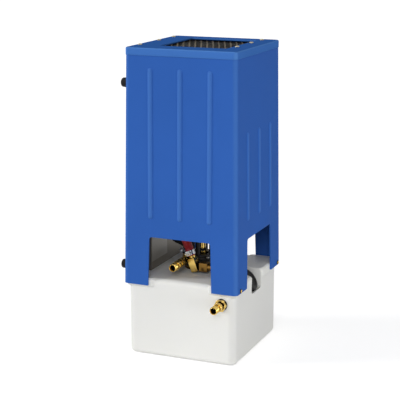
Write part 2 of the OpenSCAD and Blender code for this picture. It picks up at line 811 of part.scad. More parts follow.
// Forged block on the suction port, an arm to the right and a drop to the dip tube
module suction_elbow() color(brass)
    difference() {
        union() {
            translate([suction_x - elbow_half, suction_y - elbow_half, port_z - elbow_half])
                cube(2 * elbow_half);
            translate([suction_x, suction_y, port_z]) rotate([0, 90, 0])
                cylinder(h = suction_arm, r = elbow_arm_r);
            translate([dip_x, suction_y, port_z]) sphere(r = elbow_end_r);
            translate([dip_x, suction_y, port_z - elbow_half - slip_gap])
                cylinder(h = elbow_half, r = elbow_skirt_r);
            forward([suction_x, port_y + spigot_len, port_z], spigot_len + slip_gap + cut,
                port_bore_r - spigot_gap);
        }
        translate([dip_x, suction_y, port_z - 2 * elbow_half])
            cylinder(h = dip_top_z - port_z + 2 * elbow_half + seat_gap, r = dip_r + seat_gap);
        translate([dip_x, suction_y, port_z - 2 * elbow_half])
            cylinder(h = 2 * elbow_half, r = dip_r - dip_t);
        translate([suction_x, suction_y, port_z]) rotate([0, 90, 0])
            cylinder(h = suction_arm, r = dip_r - dip_t);
        forward([suction_x, port_y + spigot_len + cut, port_z], spigot_len + elbow_half + cut,
            dip_r - dip_t);
    }

// Pump

module port_boss(dx) {
    forward([drive_x + dx, 0, port_z], -port_y, port_r);
}

// Places something at each of the pump's four lugs
module at_lugs(z) {
    for (a = [45 : 90 : 315]) translate([drive_x, 0, z]) rotate([0, 0, a])
        translate([lug_ring_r, 0, 0]) children();
}

module pump_casing() color(dark_iron) difference() {
    union() {
        translate([drive_x, 0, casing_z]) cylinder(h = pump_h, r = pump_r);
        port_boss(block_x - drive_x);
        port_boss(suction_dx);
        at_lugs(casing_z) cylinder(h = pump_h, r = lug_r);
    }
    translate([drive_x, 0, casing_z - cut]) cylinder(h = chamber_h + cut, r = impeller_r + chamber_gap);
    translate([drive_x, 0, casing_z]) cylinder(h = pump_h + cut, r = shaft_r + chamber_gap);
    for (dx = [block_x - drive_x, suction_dx])
        forward([drive_x + dx, -impeller_r * 0.7, port_z], -port_y, port_bore_r);
    translate([outlet_x, -outlet_front, outlet_z]) rotate([0, 90, stud_heading])
        cylinder(h = stud_len + slip_gap, r = stud_r + seat_gap);
    at_lugs(casing_z - cut) cylinder(h = pump_h + 2 * cut, r = screw_r + seat_gap);
}

module pump_base() color(brass) difference() {
    translate([drive_x, 0, base_z]) cylinder(h = base_t - seat_gap, r = base_r);
    at_lugs(base_z - cut) cylinder(h = base_t + 2 * cut, r = screw_r + seat_gap);
}

module pump_screws() color(steel)
    at_lugs(casing_top_z + seat_gap) pan_screw(lug_head_r, screw_head_h, screw_r, pump_h + base_t * 0.7);

module impeller() color(brass)
    translate([drive_x, 0, casing_z + chamber_gap / 2]) difference() {
        cylinder(h = impeller_h, r = impeller_r);
        translate([0, 0, -cut]) cylinder(h = impeller_h + 2 * cut, r = shaft_r + press_gap);
        for (i = [0 : impeller_vanes - 1]) rotate([0, 0, 360 * i / impeller_vanes])
            translate([impeller_r - 2 * shaft_r / 3, -shaft_r / 6, impeller_h / 2])
                cube([shaft_r, shaft_r / 3, impeller_h]);
    }

module gland_ring() color(brass)
    translate([drive_x, 0, casing_top_z + seat_gap]) difference() {
        union() {
            cylinder(h = gland_ring_h, r = gland_ring_r - gland_neck_in);
            translate([0, 0, gland_ring_h / 3]) cylinder(h = gland_ring_h / 2, r = gland_ring_r);
        }
        translate([0, 0, -cut]) cylinder(h = gland_ring_h + 2 * cut, r = shaft_r + run_gap);
    }

module shaft_slinger() color(black)
    translate([drive_x, 0, casing_top_z + gland_ring_h + 4 * slip_gap])
        ring(slinger_r, shaft_r + press_gap, slinger_h);

module shaft_sleeve() color(brass)
    translate([drive_x, 0, casing_top_z + gland_ring_h + 5 * slip_gap + slinger_h])
        ring(shaft_r + sleeve_t, shaft_r + press_gap,
            motor_low_z - casing_top_z - gland_ring_h - 10 * slip_gap - slinger_h);

module pump_lantern() color(dark_iron) difference() {
    union() {
        translate([drive_x, 0, casing_top_z + seat_gap]) cylinder(h = lantern_t, r = lantern_r);
        translate([drive_x, 0, motor_low_z - lantern_t - seat_gap])
            cylinder(h = lantern_t, r = lantern_top_r);
        for (a = [0 : 90 : 270]) translate([drive_x, 0, casing_top_z + seat_gap]) rotate([0, 0, a])
            translate([lantern_post_ring, 0, 0])
                cylinder(h = motor_low_z - casing_top_z - 2 * seat_gap, r = lantern_post_r);
    }
    translate([drive_x, 0, casing_top_z - cut])
        cylinder(h = motor_low_z - casing_top_z + 2 * cut, r = lantern_bore_r);
}

// Motor and drive shaft

module drive_shaft() color(steel)
    translate([drive_x, 0, casing_z + chamber_gap])
        cylinder(h = shaft_top_z - casing_z - chamber_gap, r = shaft_r);

// End bell standing on its face, open upwards
module end_bell() {
    difference() {
        union() {
            rotate_extrude() polygon([[0, 0], [motor_r - 2 * bell_t, 0], [motor_r - slip_gap, 2 * bell_t],
                [motor_r - slip_gap, bell_h], [motor_r - bell_t, bell_h], [motor_r - bell_t, 2.5 * bell_t],
                [motor_r - 2.5 * bell_t, bell_t], [0, bell_t]]);
            cylinder(h = bell_t + bearing_h, r = bell_hub_r);
            for (a = [0 : 90 : 270]) rotate([0, 0, a]) translate([bolt_ring_r, 0, 0])
                intersection() {
                    cylinder(h = bell_h, r = 2 * bolt_r);
                    translate([-bolt_ring_r, 0, 0]) cylinder(h = bell_h, r = motor_r - slip_gap);
                }
        }
        translate([0, 0, bell_t]) cylinder(h = bell_h, r = bearing_r + seat_gap);
        translate([0, 0, -cut]) cylinder(h = bell_h, r = shaft_r + chamber_gap);
        for (a = [0 : 30 : 330]) rotate([0, 0, a + 15])
            translate([motor_r * 0.46, -bell_t / 2, -cut]) cube([motor_r * 0.3, bell_t, bell_t + 2 * cut]);
        for (a = [0 : 90 : 270]) rotate([0, 0, a])
            translate([bolt_ring_r, 0, -cut]) cylinder(h = bell_h + 2 * cut, r = bolt_r + seat_gap);
    }
}

module motor_lower_bell() color(dark_iron) translate([drive_x, 0, motor_low_z]) end_bell();

module motor_upper_bell() color(dark_iron) translate([drive_x, 0, motor_top_z])
    mirror([0, 0, 1]) end_bell();

module motor_shell() color(dark_iron)
    translate([drive_x, 0, motor_low_z + bell_h + seat_gap])
        ring(motor_r, motor_r - shell_t, motor_h - 2 * bell_h - 2 * seat_gap);

module motor_stator() color(steel)
    translate([drive_x, 0, rotor_mid_z - core_len / 2]) difference() {
        cylinder(h = core_len, r = motor_r - shell_t - seat_gap);
        translate([0, 0, -cut]) cylinder(h = core_len + 2 * cut, r = rotor_r + air_gap);
        for (a = [0 : 90 : 270]) rotate([0, 0, a])
            translate([bolt_ring_r, 0, -cut]) cylinder(h = core_len + 2 * cut, r = bolt_r + 2 * slip_gap);
    }

winding_share = 0.26;
winding_h = motor_r * winding_share;
module motor_windings() color(copper)
    for (m = [0, 1]) translate([drive_x, 0, rotor_mid_z]) mirror([0, 0, m])
        translate([0, 0, core_len / 2 + seat_gap])
            rotate_extrude() translate([(motor_r + rotor_r) / 2 - bell_t / 2, winding_h / 2]) {
                circle(r = winding_h / 2 - seat_gap);
                translate([-winding_h / 4, -winding_h / 2]) square(winding_h / 2);
            }

module motor_rotor() color(zinc)
    translate([drive_x, 0, rotor_mid_z - core_len / 2]) ring(rotor_r, shaft_r + press_gap, core_len);

module motor_bearings() color(steel)
    for (z = [motor_low_z + bell_t + seat_gap, motor_top_z - bell_t - seat_gap - bearing_h])
        translate([drive_x, 0, z]) ring(bearing_r, shaft_r + run_gap, bearing_h);

module motor_bolts() color(zinc)
    for (a = [0 : 90 : 270]) translate([drive_x, 0, motor_low_z]) rotate([0, 0, a])
        translate([bolt_ring_r, 0, 0]) {
        translate([0, 0, -screw_head_h - seat_gap]) cylinder(h = screw_head_h, r = bolt_r * 1.7);
        translate([0, 0, -seat_gap - film]) cylinder(h = motor_h + 2 * seat_gap + 2 * film, r = bolt_r);
        translate([0, 0, motor_h + seat_gap]) cylinder(h = screw_head_h, r = bolt_r * 1.7);
    }

box_w = 46;
box_h = 56;
box_d = 24;
module terminal_box() color(black)
    translate([drive_x, 0, rotor_mid_z]) difference() {
        translate([-box_w / 2, motor_r / 2, -box_h / 2]) cube([box_w, motor_r / 2 + box_d, box_h]);
        cylinder(h = box_h + 2 * cut, r = motor_r + seat_gap, center = true);
    }

// Cradle that hangs the motor from the upright panel

module motor_cradle() color(zinc)
    for (k = [0, 1]) translate([0, 0, cradle_z(k) - cradle_h / 2]) difference() {
        translate([panel_x + panel_t + seat_gap, -cradle_w / 2, 0])
            cube([drive_x - panel_x - motor_r / 2, cradle_w, cradle_h]);
        translate([panel_x + panel_t + cradle_t, -cradle_w / 2 - cut, cradle_t])
            cube([drive_x - panel_x, cradle_w + 2 * cut, cradle_h - 2 * cradle_t]);
        translate([drive_x, 0, -cut]) cylinder(h = cradle_h + 2 * cut, r = motor_r + slip_gap);
        for (sy = [-1, 1]) translate([panel_x, sy * cradle_w / 3, cradle_h / 2]) rotate([0, 90, 0])
            cylinder(h = 4 * cradle_t, r = screw_r + seat_gap, center = true);
    }

module motor_bands() color(steel)
    for (k = [0, 1]) translate([drive_x, 0, cradle_z(k) + cradle_h / 2 + slip_gap]) {
        difference() {
            union() {
                cylinder(h = band_h, r = motor_r + seat_gap + band_t);
                translate([motor_r, -band_ear / 2, 0]) cube([band_ear + band_t, band_ear, band_h]);
            }
            translate([0, 0, -cut]) cylinder(h = band_h + 2 * cut, r = motor_r + seat_gap);
            translate([motor_r - band_t, -band_ear / 2 + band_t, -cut])
                cube([band_ear + 3 * band_t, band_ear - 2 * band_t, band_h + 2 * cut]);
        }
        translate([motor_r + band_ear / 2 + band_t, band_ear, band_h / 2]) rotate([90, 0, 0])
            cylinder(h = 2 * band_ear, r = screw_r);
    }

module chassis_panel() color(zinc) difference() {
    panel_h = panel_top_z - tank_h;
    union() {
        translate([panel_x, panel_front, tank_h + seat_gap])
            cube([panel_t, panel_back - panel_front, panel_h]);
        for (y = [panel_front, panel_back - panel_t])
            translate([panel_x - foot_w, y, tank_h + seat_gap]) cube([foot_w + panel_t, panel_t, panel_h]);
        translate([panel_x - foot_w, panel_front, tank_h + seat_gap])
            cube([foot_w + panel_t, panel_back - panel_front, panel_t]);
    }
    for (k = [0, 1], sy = [-1, 1]) translate([panel_x, sy * cradle_w / 3, cradle_z(k)]) rotate([0, 90, 0])
        cylinder(h = 4 * panel_t, r = screw_r + seat_gap, center = true);
    for (s = foot_screw_shares)
        translate([panel_x - foot_w / 2, panel_front + s * (panel_back - panel_front), tank_h])
        cylinder(h = 4 * panel_t, r = screw_r / 2 + seat_gap);
}

module chassis_screws() color(brass) {
    for (k = [0, 1], sy = [-1, 1]) translate([panel_x - seat_gap, sy * cradle_w / 3, cradle_z(k)])
        rotate([0, -90, 0])
        pan_screw(screw_head_r, screw_head_h, screw_r, panel_t + cradle_t + 2 * seat_gap);
    for (s = foot_screw_shares)
        translate([panel_x - foot_w / 2, panel_front + s * (panel_back - panel_front),
            tank_h + panel_t + 2 * seat_gap])
            pan_screw(foot_w / 3, screw_head_h / 2, screw_r / 2, panel_t);
}

// Fan

blade_t = 1.8;
blade_pitch = 30;
blade_curve_r = 58;
leaf_r = 33;
leaf_out = 46;
// One pressed blade: a curved, pitched sheet cut to a round leaf
module blade() {
    intersection() {
        translate([0, 0, -leaf_r]) linear_extrude(2 * leaf_r) intersection() {
            circle(r = fan_r);
            translate([leaf_out, 0]) circle(r = leaf_r);
        }
        rotate([blade_pitch, 0, 0]) translate([0, 0, -blade_curve_r]) rotate([0, 90, 0]) difference() {
            cylinder(h = fan_r + cut, r = blade_curve_r + blade_t / 2);
            translate([0, 0, -cut]) cylinder(h = fan_r + 3 * cut, r = blade_curve_r - blade_t / 2);
        }
    }
}

module fan() color(dark_iron) translate([drive_x, 0, fan_mid_z]) difference() {
    union() {
        translate([0, 0, -hub_h / 2]) cylinder(h = hub_h, r = hub_r);
        for (i = [0 : fan_blades - 1]) rotate([0, 0, 360 * i / fan_blades]) blade();
    }
    translate([0, 0, -hub_h]) cylinder(h = 2 * hub_h, r = shaft_r + press_gap);
    translate([0, 0, -hub_h / 2 - cut]) ring(hub_r - 2 * blade_t, shaft_r + 3 * blade_t, hub_h / 2);
}

module fan_shroud() color(zinc) {
    tray_w = coil_len - 2 * seat_gap;
    tray_d = coil_depth;
    difference() {
        union() {
            translate([coil_x - tray_w / 2, -tray_d / 2, tray_z]) cube([tray_w, tray_d, tray_h - seat_gap]);
            translate([drive_x, 0, ring_low_z]) cylinder(h = ring_h + film, r = ring_r + shroud_t);
        }
        translate([coil_x - tray_w / 2 + shroud_t, -tray_d / 2 + shroud_t, tray_z + shroud_t])
            cube([tray_w - 2 * shroud_t, tray_d - 2 * shroud_t, tray_h]);
        translate([drive_x, 0, ring_low_z - cut]) cylinder(h = ring_h + tray_h, r = ring_r);
    }
}

// Cooling coil

module tube_holes(x, length, r) {
    for (i = [0 : tube_columns - 1], k = [0, 1])
        translate([x, column_y(i), low_row_z + k * row_gap]) rotate([0, 90, 0]) cylinder(h = length, r = r);
}

module coil_fins() color([0.16, 0.13, 0.11])
    for (i = [0 : fin_count])
        translate([coil_x + (i - fin_count / 2) * fin_pitch - fin_t / 2, 0, core_low_z]) rotate([90, 0, 90])
            linear_extrude(fin_t) difference() {
                translate([-coil_depth / 2 + end_t, 0]) square([coil_depth - 2 * end_t, core_h]);
                for (c = [0 : tube_columns - 1], k = [0, 1])
                    translate([column_y(c), low_row_z + k * row_gap - core_low_z])
                        circle(r = tube_r + tube_gap, $fn = 24);
            }

// Half ring of tube that opens along +X, in the plane turned by the angle given
module return_bend(r) {
    rotate_extrude(angle = 180) translate([r, 0]) circle(r = tube_r, $fn = 32);
}

module coil_tube() color(copper) {
    lead = end_t + bend_lead;
    tube_holes(coil_left - lead, coil_len + 2 * lead, tube_r, $fn = 32);
    for (i = [0 : tube_columns - 1])
        translate([coil_right + lead, column_y(i), core_mid_z]) rotate([90, 0, 0])
            rotate([0, 0, -90]) return_bend(row_gap / 2);
    for (i = [0 : tube_columns - 2])
        translate([coil_left - lead, column_y(i) + tube_pitch / 2, core_mid_z +
            (i % 2 == 0 ? 1 : -1) * row_gap / 2])
            rotate([0, 0, 90]) return_bend(tube_pitch / 2);
    for (i = [0, tube_columns - 1]) {
        translate([coil_left - lead, column_y(i), low_row_z - stub_bend_r]) rotate([90, 0, 0])
            rotate([0, 0, 90])
            rotate_extrude(angle = 90) translate([stub_bend_r, 0]) circle(r = tube_r, $fn = 32);
        translate([stub_x, column_y(i), stub_end_z]) cylinder(h = stub_drop, r = tube_r, $fn = 32);
    }
}

module coil_end_plates() color(zinc) {
    for (side = [0, 1]) {
        x = side == 0 ? coil_left - end_t : coil_right;
        reach = side == 0 ? left_flange_w : flange_w;
        screws = side == 0 ? left_screw_shares : right_screw_shares;
        screw_x = side == 0 ? left_screw_x : right_screw_x;
        difference() {
            union() {
                translate([x, -coil_depth / 2, tray_z])
                    cube([end_t, coil_depth, rim_top_z - tray_z - seat_gap]);
                translate([side == 0 ? x + end_t - reach : x, -coil_depth / 2,
                    rim_top_z - end_t - seat_gap]) cube([reach, coil_depth, end_t]);
            }
            tube_holes(coil_left - 2 * end_t, coil_len + 4 * end_t, tube_r + tube_gap);
            for (s = screws) translate([screw_x, s * lid_d / 2, rim_top_z - 3 * end_t])
                cylinder(h = 4 * end_t, r = lid_screw_r + seat_gap);
        }
    }
}

// Outlet line

module outlet_fitting() color(brass)
    translate([outlet_x, -outlet_front - outlet_elbow_r, outlet_z]) rotate([90, 0, 0])
        coolant_fitting(outlet_len - 2 * outlet_elbow_r, 2 * outlet_elbow_r - fitting_groove,
            outlet_elbow_r, 3);

module outlet_elbow() color(brass)
    translate([outlet_x, -outlet_front, outlet_z]) difference() {
        union() {
            rotate([90, 0, 0]) translate([0, 0, fitting_groove - outlet_elbow_r])
                cylinder(h = 2 * outlet_elbow_r - fitting_groove - seat_gap, r = outlet_elbow_r);
            rotate([90, 0, 0]) translate([0, 0, -outlet_elbow_r])
                cylinder(h = fitting_groove, r1 = outlet_elbow_r - fitting_groove, r2 = outlet_elbow_r);
            rotate([-outlet_leg_back, 0, 0])
                cylinder(h = outlet_elbow_r + outlet_leg_len, r = outlet_elbow_r - fitting_groove);
            rotate([-outlet_leg_back, 0, 0])
                cylinder(h = outlet_elbow_r + outlet_leg_len + barb_len, r = barb_r);
            rotate([0, 90, stud_heading]) cylinder(h = stud_len, r = stud_r);
        }
        rotate([-outlet_leg_back, 0, 0])
            cylinder(h = 2 * outlet_elbow_r + outlet_leg_len + barb_len, r = barb_bore_r);
        forward([0, nose_bore_r, 0], 2 * outlet_elbow_r, nose_bore_r);
    }

// Forged block on the delivery port, with the red hose's barb on top
module outlet_block() color(brass)
    translate([block_x, block_y, port_z]) rotate([0, -block_turn, 0]) difference() {
        union() {
            translate([-block_w / 2, 0, -block_h / 2 + block_up]) cube([block_w, block_d, block_h]);
            translate([0, block_d / 2, block_h / 2 + block_up - film])
                cylinder(h = block_neck_h, r = block_neck_r);
            translate([0, block_d / 2, block_h / 2 + block_up])
                cylinder(h = block_neck_h + barb_len, r = barb_r);
            translate([0, block_d + spigot_len, 0]) rotate([90, 0, 0])
                cylinder(h = spigot_len + film, r = port_bore_r - spigot_gap);
        }
        translate([0, block_d / 2, 0])
            cylinder(h = block_h + block_neck_h + barb_len, r = barb_bore_r);
        translate([0, block_d + spigot_len + cut, 0]) rotate([90, 0, 0])
            cylinder(h = spigot_len + cut + block_d / 2, r = barb_bore_r);
    }

// Hoses

function block_top(h) = [block_x - h * sin(block_turn), block_y + block_d / 2,
    port_z + h * cos(block_turn)];
function elbow_out(h) = [outlet_x, h * sin(outlet_leg_back) - outlet_front,
    outlet_z + h * cos(outlet_leg_back)];
red_start = block_h / 2 + block_up + block_neck_h + slip_gap;
black_start = outlet_elbow_r + outlet_leg_len + slip_gap;
front_stub = [stub_x, column_y(0), stub_end_z];
rear_stub = [stub_x, column_y(tube_columns - 1), stub_end_z];
stub_grip = 22;
stub_lead = 24;
lane_gap = 3;
motor_clear = 5;
panel_top_z = cradle_z(1) + cradle_h / 2 + panel_over;
lane_x = panel_x + panel_t + hose_r + lane_gap;
lane_y = cradle_w / 2 + 2 * hose_r + lane_gap;
lane_z = motor_low_z - hose_r - lane_gap;
function up_by(p, h) = [p[0], p[1], p[2] + h];
function between(p, q, share) = p + share * (q - p);
// Point beside the motor, at the angle and height given
function beside_motor(angle, z) = let (r = motor_r + hose_r + motor_clear)
    [drive_x + r * cos(angle), r * sin(angle), z];
red_turn_angle = -97;
red_turn = beside_motor(red_turn_angle, motor_low_z + hose_r);
red_bend_share = 0.55;
red_rise_shares = [0.1, 0.3, 0.6, 0.88];
straight_shares = [0, 0.5, 0.9, 1.2];
red_route = concat([for (share = straight_shares) block_top(red_start + share * barb_len)],
    [between(block_top(red_start + barb_len), red_turn, red_bend_share), red_turn],
    [for (share = red_rise_shares) between(red_turn, up_by(front_stub, -stub_lead), share)],
    [up_by(front_stub, -stub_lead), front_stub, up_by(front_stub, stub_grip)]);
lane_turn_share = 0.8;
black_dip = [(lane_x + outlet_x) / 2, -lane_y / 2, lane_z - hose_r / 2];
black_cross = [(lane_x + stub_x) / 2, (lane_y + rear_stub[1]) / 2, panel_top_z + 3 * hose_r];
black_route = concat([for (share = straight_shares) elbow_out(black_start + share * barb_len)],
    [black_dip, [lane_x, lane_y / 4, lane_z], [lane_x, lane_y / 2, lane_z + hose_r / 2],
        [lane_x, lane_y * lane_turn_share, lane_z + 2 * hose_r], [lane_x, lane_y, cradle_z(0)],
        [lane_x, lane_y, cradle_z(1)], [lane_x, lane_y, panel_top_z], black_cross,
        up_by(rear_stub, -stub_lead), rear_stub, up_by(rear_stub, stub_grip)]);

module red_hose() color(red) swept_tube(curve(red_route, hose_steps), hose_r, hose_bore_r, hose_sides);

module black_hose() color(black) swept_tube(curve(black_route, hose_steps), hose_r, hose_bore_r,
    hose_sides);

// Worm clamp round a hose, with its axis up and its screw box on the -Y side
module worm_clamp() {
    difference() {
        union() {
            translate([0, 0, -clamp_w / 2]) cylinder(h = clamp_w, r = hose_r + seat_gap + clamp_t);
            translate([-clamp_screw_len / 3, -hose_r - 2 * clamp_screw_r, -clamp_w / 2])
                cube([clamp_screw_len * 2 / 3, 2 * clamp_screw_r, clamp_w]);
        }
        translate([0, 0, -clamp_w]) cylinder(h = 2 * clamp_w, r = hose_r + seat_gap);
    }
    translate([-clamp_screw_len / 3 - clamp_screw_r, -hose_r - clamp_screw_r - clamp_t, 0])
        rotate([0, 90, 0])
        cylinder(h = clamp_screw_len, r = clamp_screw_r);
}

module hose_clamps() color(steel) {
    translate(block_top(red_start + clamp_back + clamp_w / 2)) rotate([0, -block_turn, 0]) worm_clamp();
    translate(elbow_out(black_start + clamp_back + clamp_w / 2))
        rotate([-outlet_leg_back, 0, 0]) rotate([0, 0, -90]) worm_clamp();
    for (stub = [front_stub, rear_stub])
        translate(up_by(stub, clamp_back + clamp_w / 2)) rotate([0, 0, 90]) worm_clamp();
}

// Cover

bead_round_r = (bead_w * bead_w / 4 + bead_proud * bead_proud) / (2 * bead_proud);

module bead(side, offset, length) {
    z0 = leg_z + bead_low;
    on_side(side) translate([offset, -wall_at(side, z0), z0]) rotate([-tilt, 0, 0])
        translate([0, bead_round_r - bead_proud, 0]) {
            cylinder(h = length, r = bead_round_r, $fn = 48);
            sphere(r = bead_round_r, $fn = 48);
            translate([0, 0, length]) sphere(r = bead_round_r, $fn = 48);
        }
}

// Outline of a leg opening, wider at its foot, with round top corners
module arch(top_w, foot_w) {
    polygon(concat([[-foot_w / 2, -cut], [foot_w / 2, -cut]],
        [for (i = [0 : 6]) [top_w / 2 - open_r + open_r * cos(15 * i),
            open_h - open_r + open_r * sin(15 * i)]],
        [for (i = [6 : 12]) [-top_w / 2 + open_r + open_r * cos(15 * i),
            open_h - open_r + open_r * sin(15 * i)]]));
}

module cover_shell() color(blue) difference() {
    union() {
        leaning_block(0, leg_z, seam_z);
        translate([0, 0, seam_z - film]) linear_extrude(rim_top_z - seam_z)
            round_rect(rim_out_w, rim_out_d, cover_r - skirt_t);
        for (side = [0 : 3], k = [-1 : 1])
            bead(side, k * (side % 2 == 0 ? end_bead_pitch : side_bead_pitch),
                cover_h - bead_low - (side % 2 == 0 ? end_bead_in : side_bead_in));
    }
    leaning_block(cover_t, leg_z - 2 * cut, seam_z - rim_shoulder);
    translate([0, 0, seam_z - rim_shoulder - cut]) linear_extrude(lid_h + rim_shoulder + cut)
        round_rect(rim_out_w - 2 * rim_t, rim_out_d - 2 * rim_t, cover_r - skirt_t - rim_t / 2);
    for (side = [0 : 3]) on_side(side)
        translate([0, -wall_at(side, leg_z) + 4 * cover_t + cover_draft, leg_z]) rotate([90, 0, 0])
            linear_extrude(6 * cover_t + cover_draft)
                arch(side % 2 == 0 ? end_open_top : side_open_top,
                    side % 2 == 0 ? end_open_foot : side_open_foot);
    for (sx = [-1, 1], y = [front_screw_y, rear_screw_y])
        translate([sx * cover_w / 2, y, leg_screw_z]) rotate([0, 90, 0])
            cylinder(h = 4 * cover_t, r = leg_hole_r, center = true);
    for (sy = [-1, 1], up = bumper_ups)
        translate([-half_w(leg_z + up), sy * bumper_y, leg_z + up]) rotate([0, 90, 0])
            cylinder(h = 4 * cover_t, r = screw_r + seat_gap, center = true);
    translate([switch_x, rear_wall_y, rear_z])
        cube([bezel_w - 2 * switch_wall, 6 * cover_t, bezel_h - 2 * switch_wall], center = true);
    translate([-gland_x, rear_wall_y, rear_z]) rotate([90, 0, 0])
        cylinder(h = 6 * cover_t, r = gland_neck_r + seat_gap, center = true);
}

module leg_washers() color(black)
    for (sx = [-1, 1], y = [front_screw_y, rear_screw_y])
        translate([sx * (half_w(leg_screw_z) + seat_gap), y, leg_screw_z]) rotate([0, sx * 90, 0])
            ring(leg_washer_r, leg_screw_r + seat_gap, leg_washer_t);

module leg_screws() color(brass)
    for (sx = [-1, 1], y = [front_screw_y, rear_screw_y])
        translate([sx * (half_w(leg_screw_z) + 2 * seat_gap + leg_washer_t), y, leg_screw_z])
            rotate([0, sx * 90, 0])
            pan_screw(leg_head_r, leg_head_h, leg_screw_r, leg_screw_len);

// Lid

module lid_frame() color(dark_blue) difference() {
    hull() for (sx = [-1, 1], sy = [-1, 1])
        translate([sx * (lid_w / 2 - cover_r), sy * (lid_d / 2 - cover_r), seam_z])
            rotate_extrude($fn = soft_fn) polygon(concat([[0, 0], [cover_r, 0]],
                [for (i = [0 : 5]) [cover_r - lid_edge_r + lid_edge_r * cos(18 * i),
                    lid_h - lid_edge_r + lid_edge_r * sin(18 * i)]],
                [[0, lid_h]]));
    translate([0, 0, seam_z - cut]) linear_extrude(lid_h - lid_t + cut)
        round_rect(lid_w - 2 * skirt_t, lid_d - 2 * skirt_t, cover_r - skirt_t);
    translate([vent_x, vent_y, seam_z - cut]) linear_extrude(lid_h + 2 * cut)
        round_rect(vent_w, vent_d, vent_r);
    for (s = left_screw_shares) translate([left_screw_x, s * lid_d / 2, seam_z])
        cylinder(h = lid_h + cut, r = lid_hole_r);
    for (s = right_screw_shares) translate([right_screw_x, s * lid_d / 2, seam_z])
        cylinder(h = lid_h + cut, r = lid_hole_r);
}

module lid_screws() color([0.72, 0.66, 0.52]) {
    for (s = left_screw_shares) translate([left_screw_x, s * lid_d / 2, top_z + seat_gap])
        pan_screw(lid_head_r, lid_head_h, lid_screw_r, lid_screw_len);
    for (s = right_screw_shares) translate([right_screw_x, s * lid_d / 2, top_z + seat_gap])
        pan_screw(lid_head_r, lid_head_h, lid_screw_r, lid_screw_len);
}

// Bumper feet on the left wall, for laying the unit on its side

bumper_waist = 1.5;
bumper_round = 3;
bumper_well = 9;
module bumper_feet() color(black)
    for (sy = [-1, 1], up = bumper_ups)
        translate([-half_w(leg_z + up) - seat_gap, sy * bumper_y, leg_z + up]) rotate([0, -90, 0])
            difference() {
                rotate([0, tilt, 0]) rotate_extrude() polygon(concat([[0, 0], [bumper_r, 0]],
                    [for (i = [0 : 5]) [bumper_r - bumper_waist - bumper_round + bumper_round * cos(18 * i),
                        bumper_h - bumper_round + bumper_round * sin(18 * i)]],
                    [[0, bumper_h]]));
                rotate([0, tilt, 0]) translate([0, 0, bumper_h - bumper_well])
                    cylinder(h = bumper_h, r = screw_head_r + slip_gap);
                rotate([0, tilt, 0]) translate([0, 0, -cut])
                    cylinder(h = bumper_h, r = screw_r + seat_gap);
            }

module bumper_screws() color(zinc)
    for (sy = [-1, 1], up = bumper_ups)
        translate([-half_w(leg_z + up) - seat_gap, sy * bumper_y, leg_z + up]) rotate([0, -90, 0])
            rotate([0, tilt, 0])
            translate([0, 0, bumper_h - bumper_well + seat_gap])
                pan_screw(screw_head_r, screw_head_h, screw_r, bumper_h - bumper_well + cover_t);

// Power switch and cord gland on the back wall

module switch_bezel() color(black)
    translate([switch_x, rear_wall_y + slip_gap, rear_z]) difference() {
        union() {
            translate([-bezel_w / 2, 0, -bezel_h / 2]) cube([bezel_w, bezel_t, bezel_h]);
            translate([-body_w / 2, -switch_body_d, -body_h / 2])
                cube([body_w, switch_body_d + film, body_h]);
        }
        translate([-rocker_w / 2 - slip_gap, -rocker_r - rocker_set, -rocker_r - slip_gap])
            cube([rocker_w + 2 * slip_gap, rocker_r + rocker_set + bezel_t + cut,
                2 * (rocker_r + slip_gap)]);
    }

module switch_rocker() color([0.10, 0.10, 0.11])
    translate([switch_x - rocker_w / 2, rear_wall_y + slip_gap + bezel_t - rocker_set, rear_z])
        rotate([90, 0, 90])
        linear_extrude(rocker_w) rotate([0, 0, -rocker_swing / 2]) intersection() {
            circle(r = rocker_r);
            polygon([[-rocker_base, -rocker_r], [rocker_rise, -rocker_r], [rocker_crown, 0],
                [rocker_rise, rocker_r], [-rocker_base, rocker_r]]);
        }

module cord_gland() color(black)
    translate([-gland_x, rear_wall_y + slip_gap, rear_z]) rotate([-90, 0, 0]) difference() {
        union() {
            cylinder(h = gland_head_h / 3, r = gland_r);
            rotate_extrude() polygon([[0, gland_head_h / 3], [gland_r * 0.9, gland_head_h / 3],
                [gland_r * 0.8, gland_head_h * 0.8], [gland_r * 0.6, gland_head_h], [0, gland_head_h]]);
            translate([0, 0, -gland_tail]) cylinder(h = gland_tail + film, r = gland_neck_r);
        }
        translate([0, 0, -gland_tail - cut])
            cylinder(h = gland_tail + gland_head_h + 2 * cut, r = gland_bore_r);
    }

gland_nut_flats = 20;
gland_nut_h = 5;
module gland_nut() color(black)
    translate([-gland_x, rear_wall_y - cover_t - 2 * slip_gap - gland_nut_h, rear_z])
        rotate([-90, 0, 0]) difference() {
        hex_bar(gland_nut_flats, gland_nut_h);
        translate([0, 0, -cut]) cylinder(h = gland_nut_h + 2 * cut, r = gland_neck_r + seat_gap);
    }

// Lead from the switch up to the motor's terminal box
lead_rise = 14;
switch_root = [switch_x, rear_wall_y - switch_body_d + 2 * lead_r, rear_z + body_h / 2 + slip_gap];
box_root = [drive_x + box_w / 4, motor_r + box_d / 2, rotor_mid_z - box_h / 2 - slip_gap];
module inner_leads() color(black)
    swept_cable(curve([switch_root, up_by(switch_root, lead_rise), up_by(box_root, -lead_rise),
        box_root], hose_steps),
        lead_r, lead_sides);

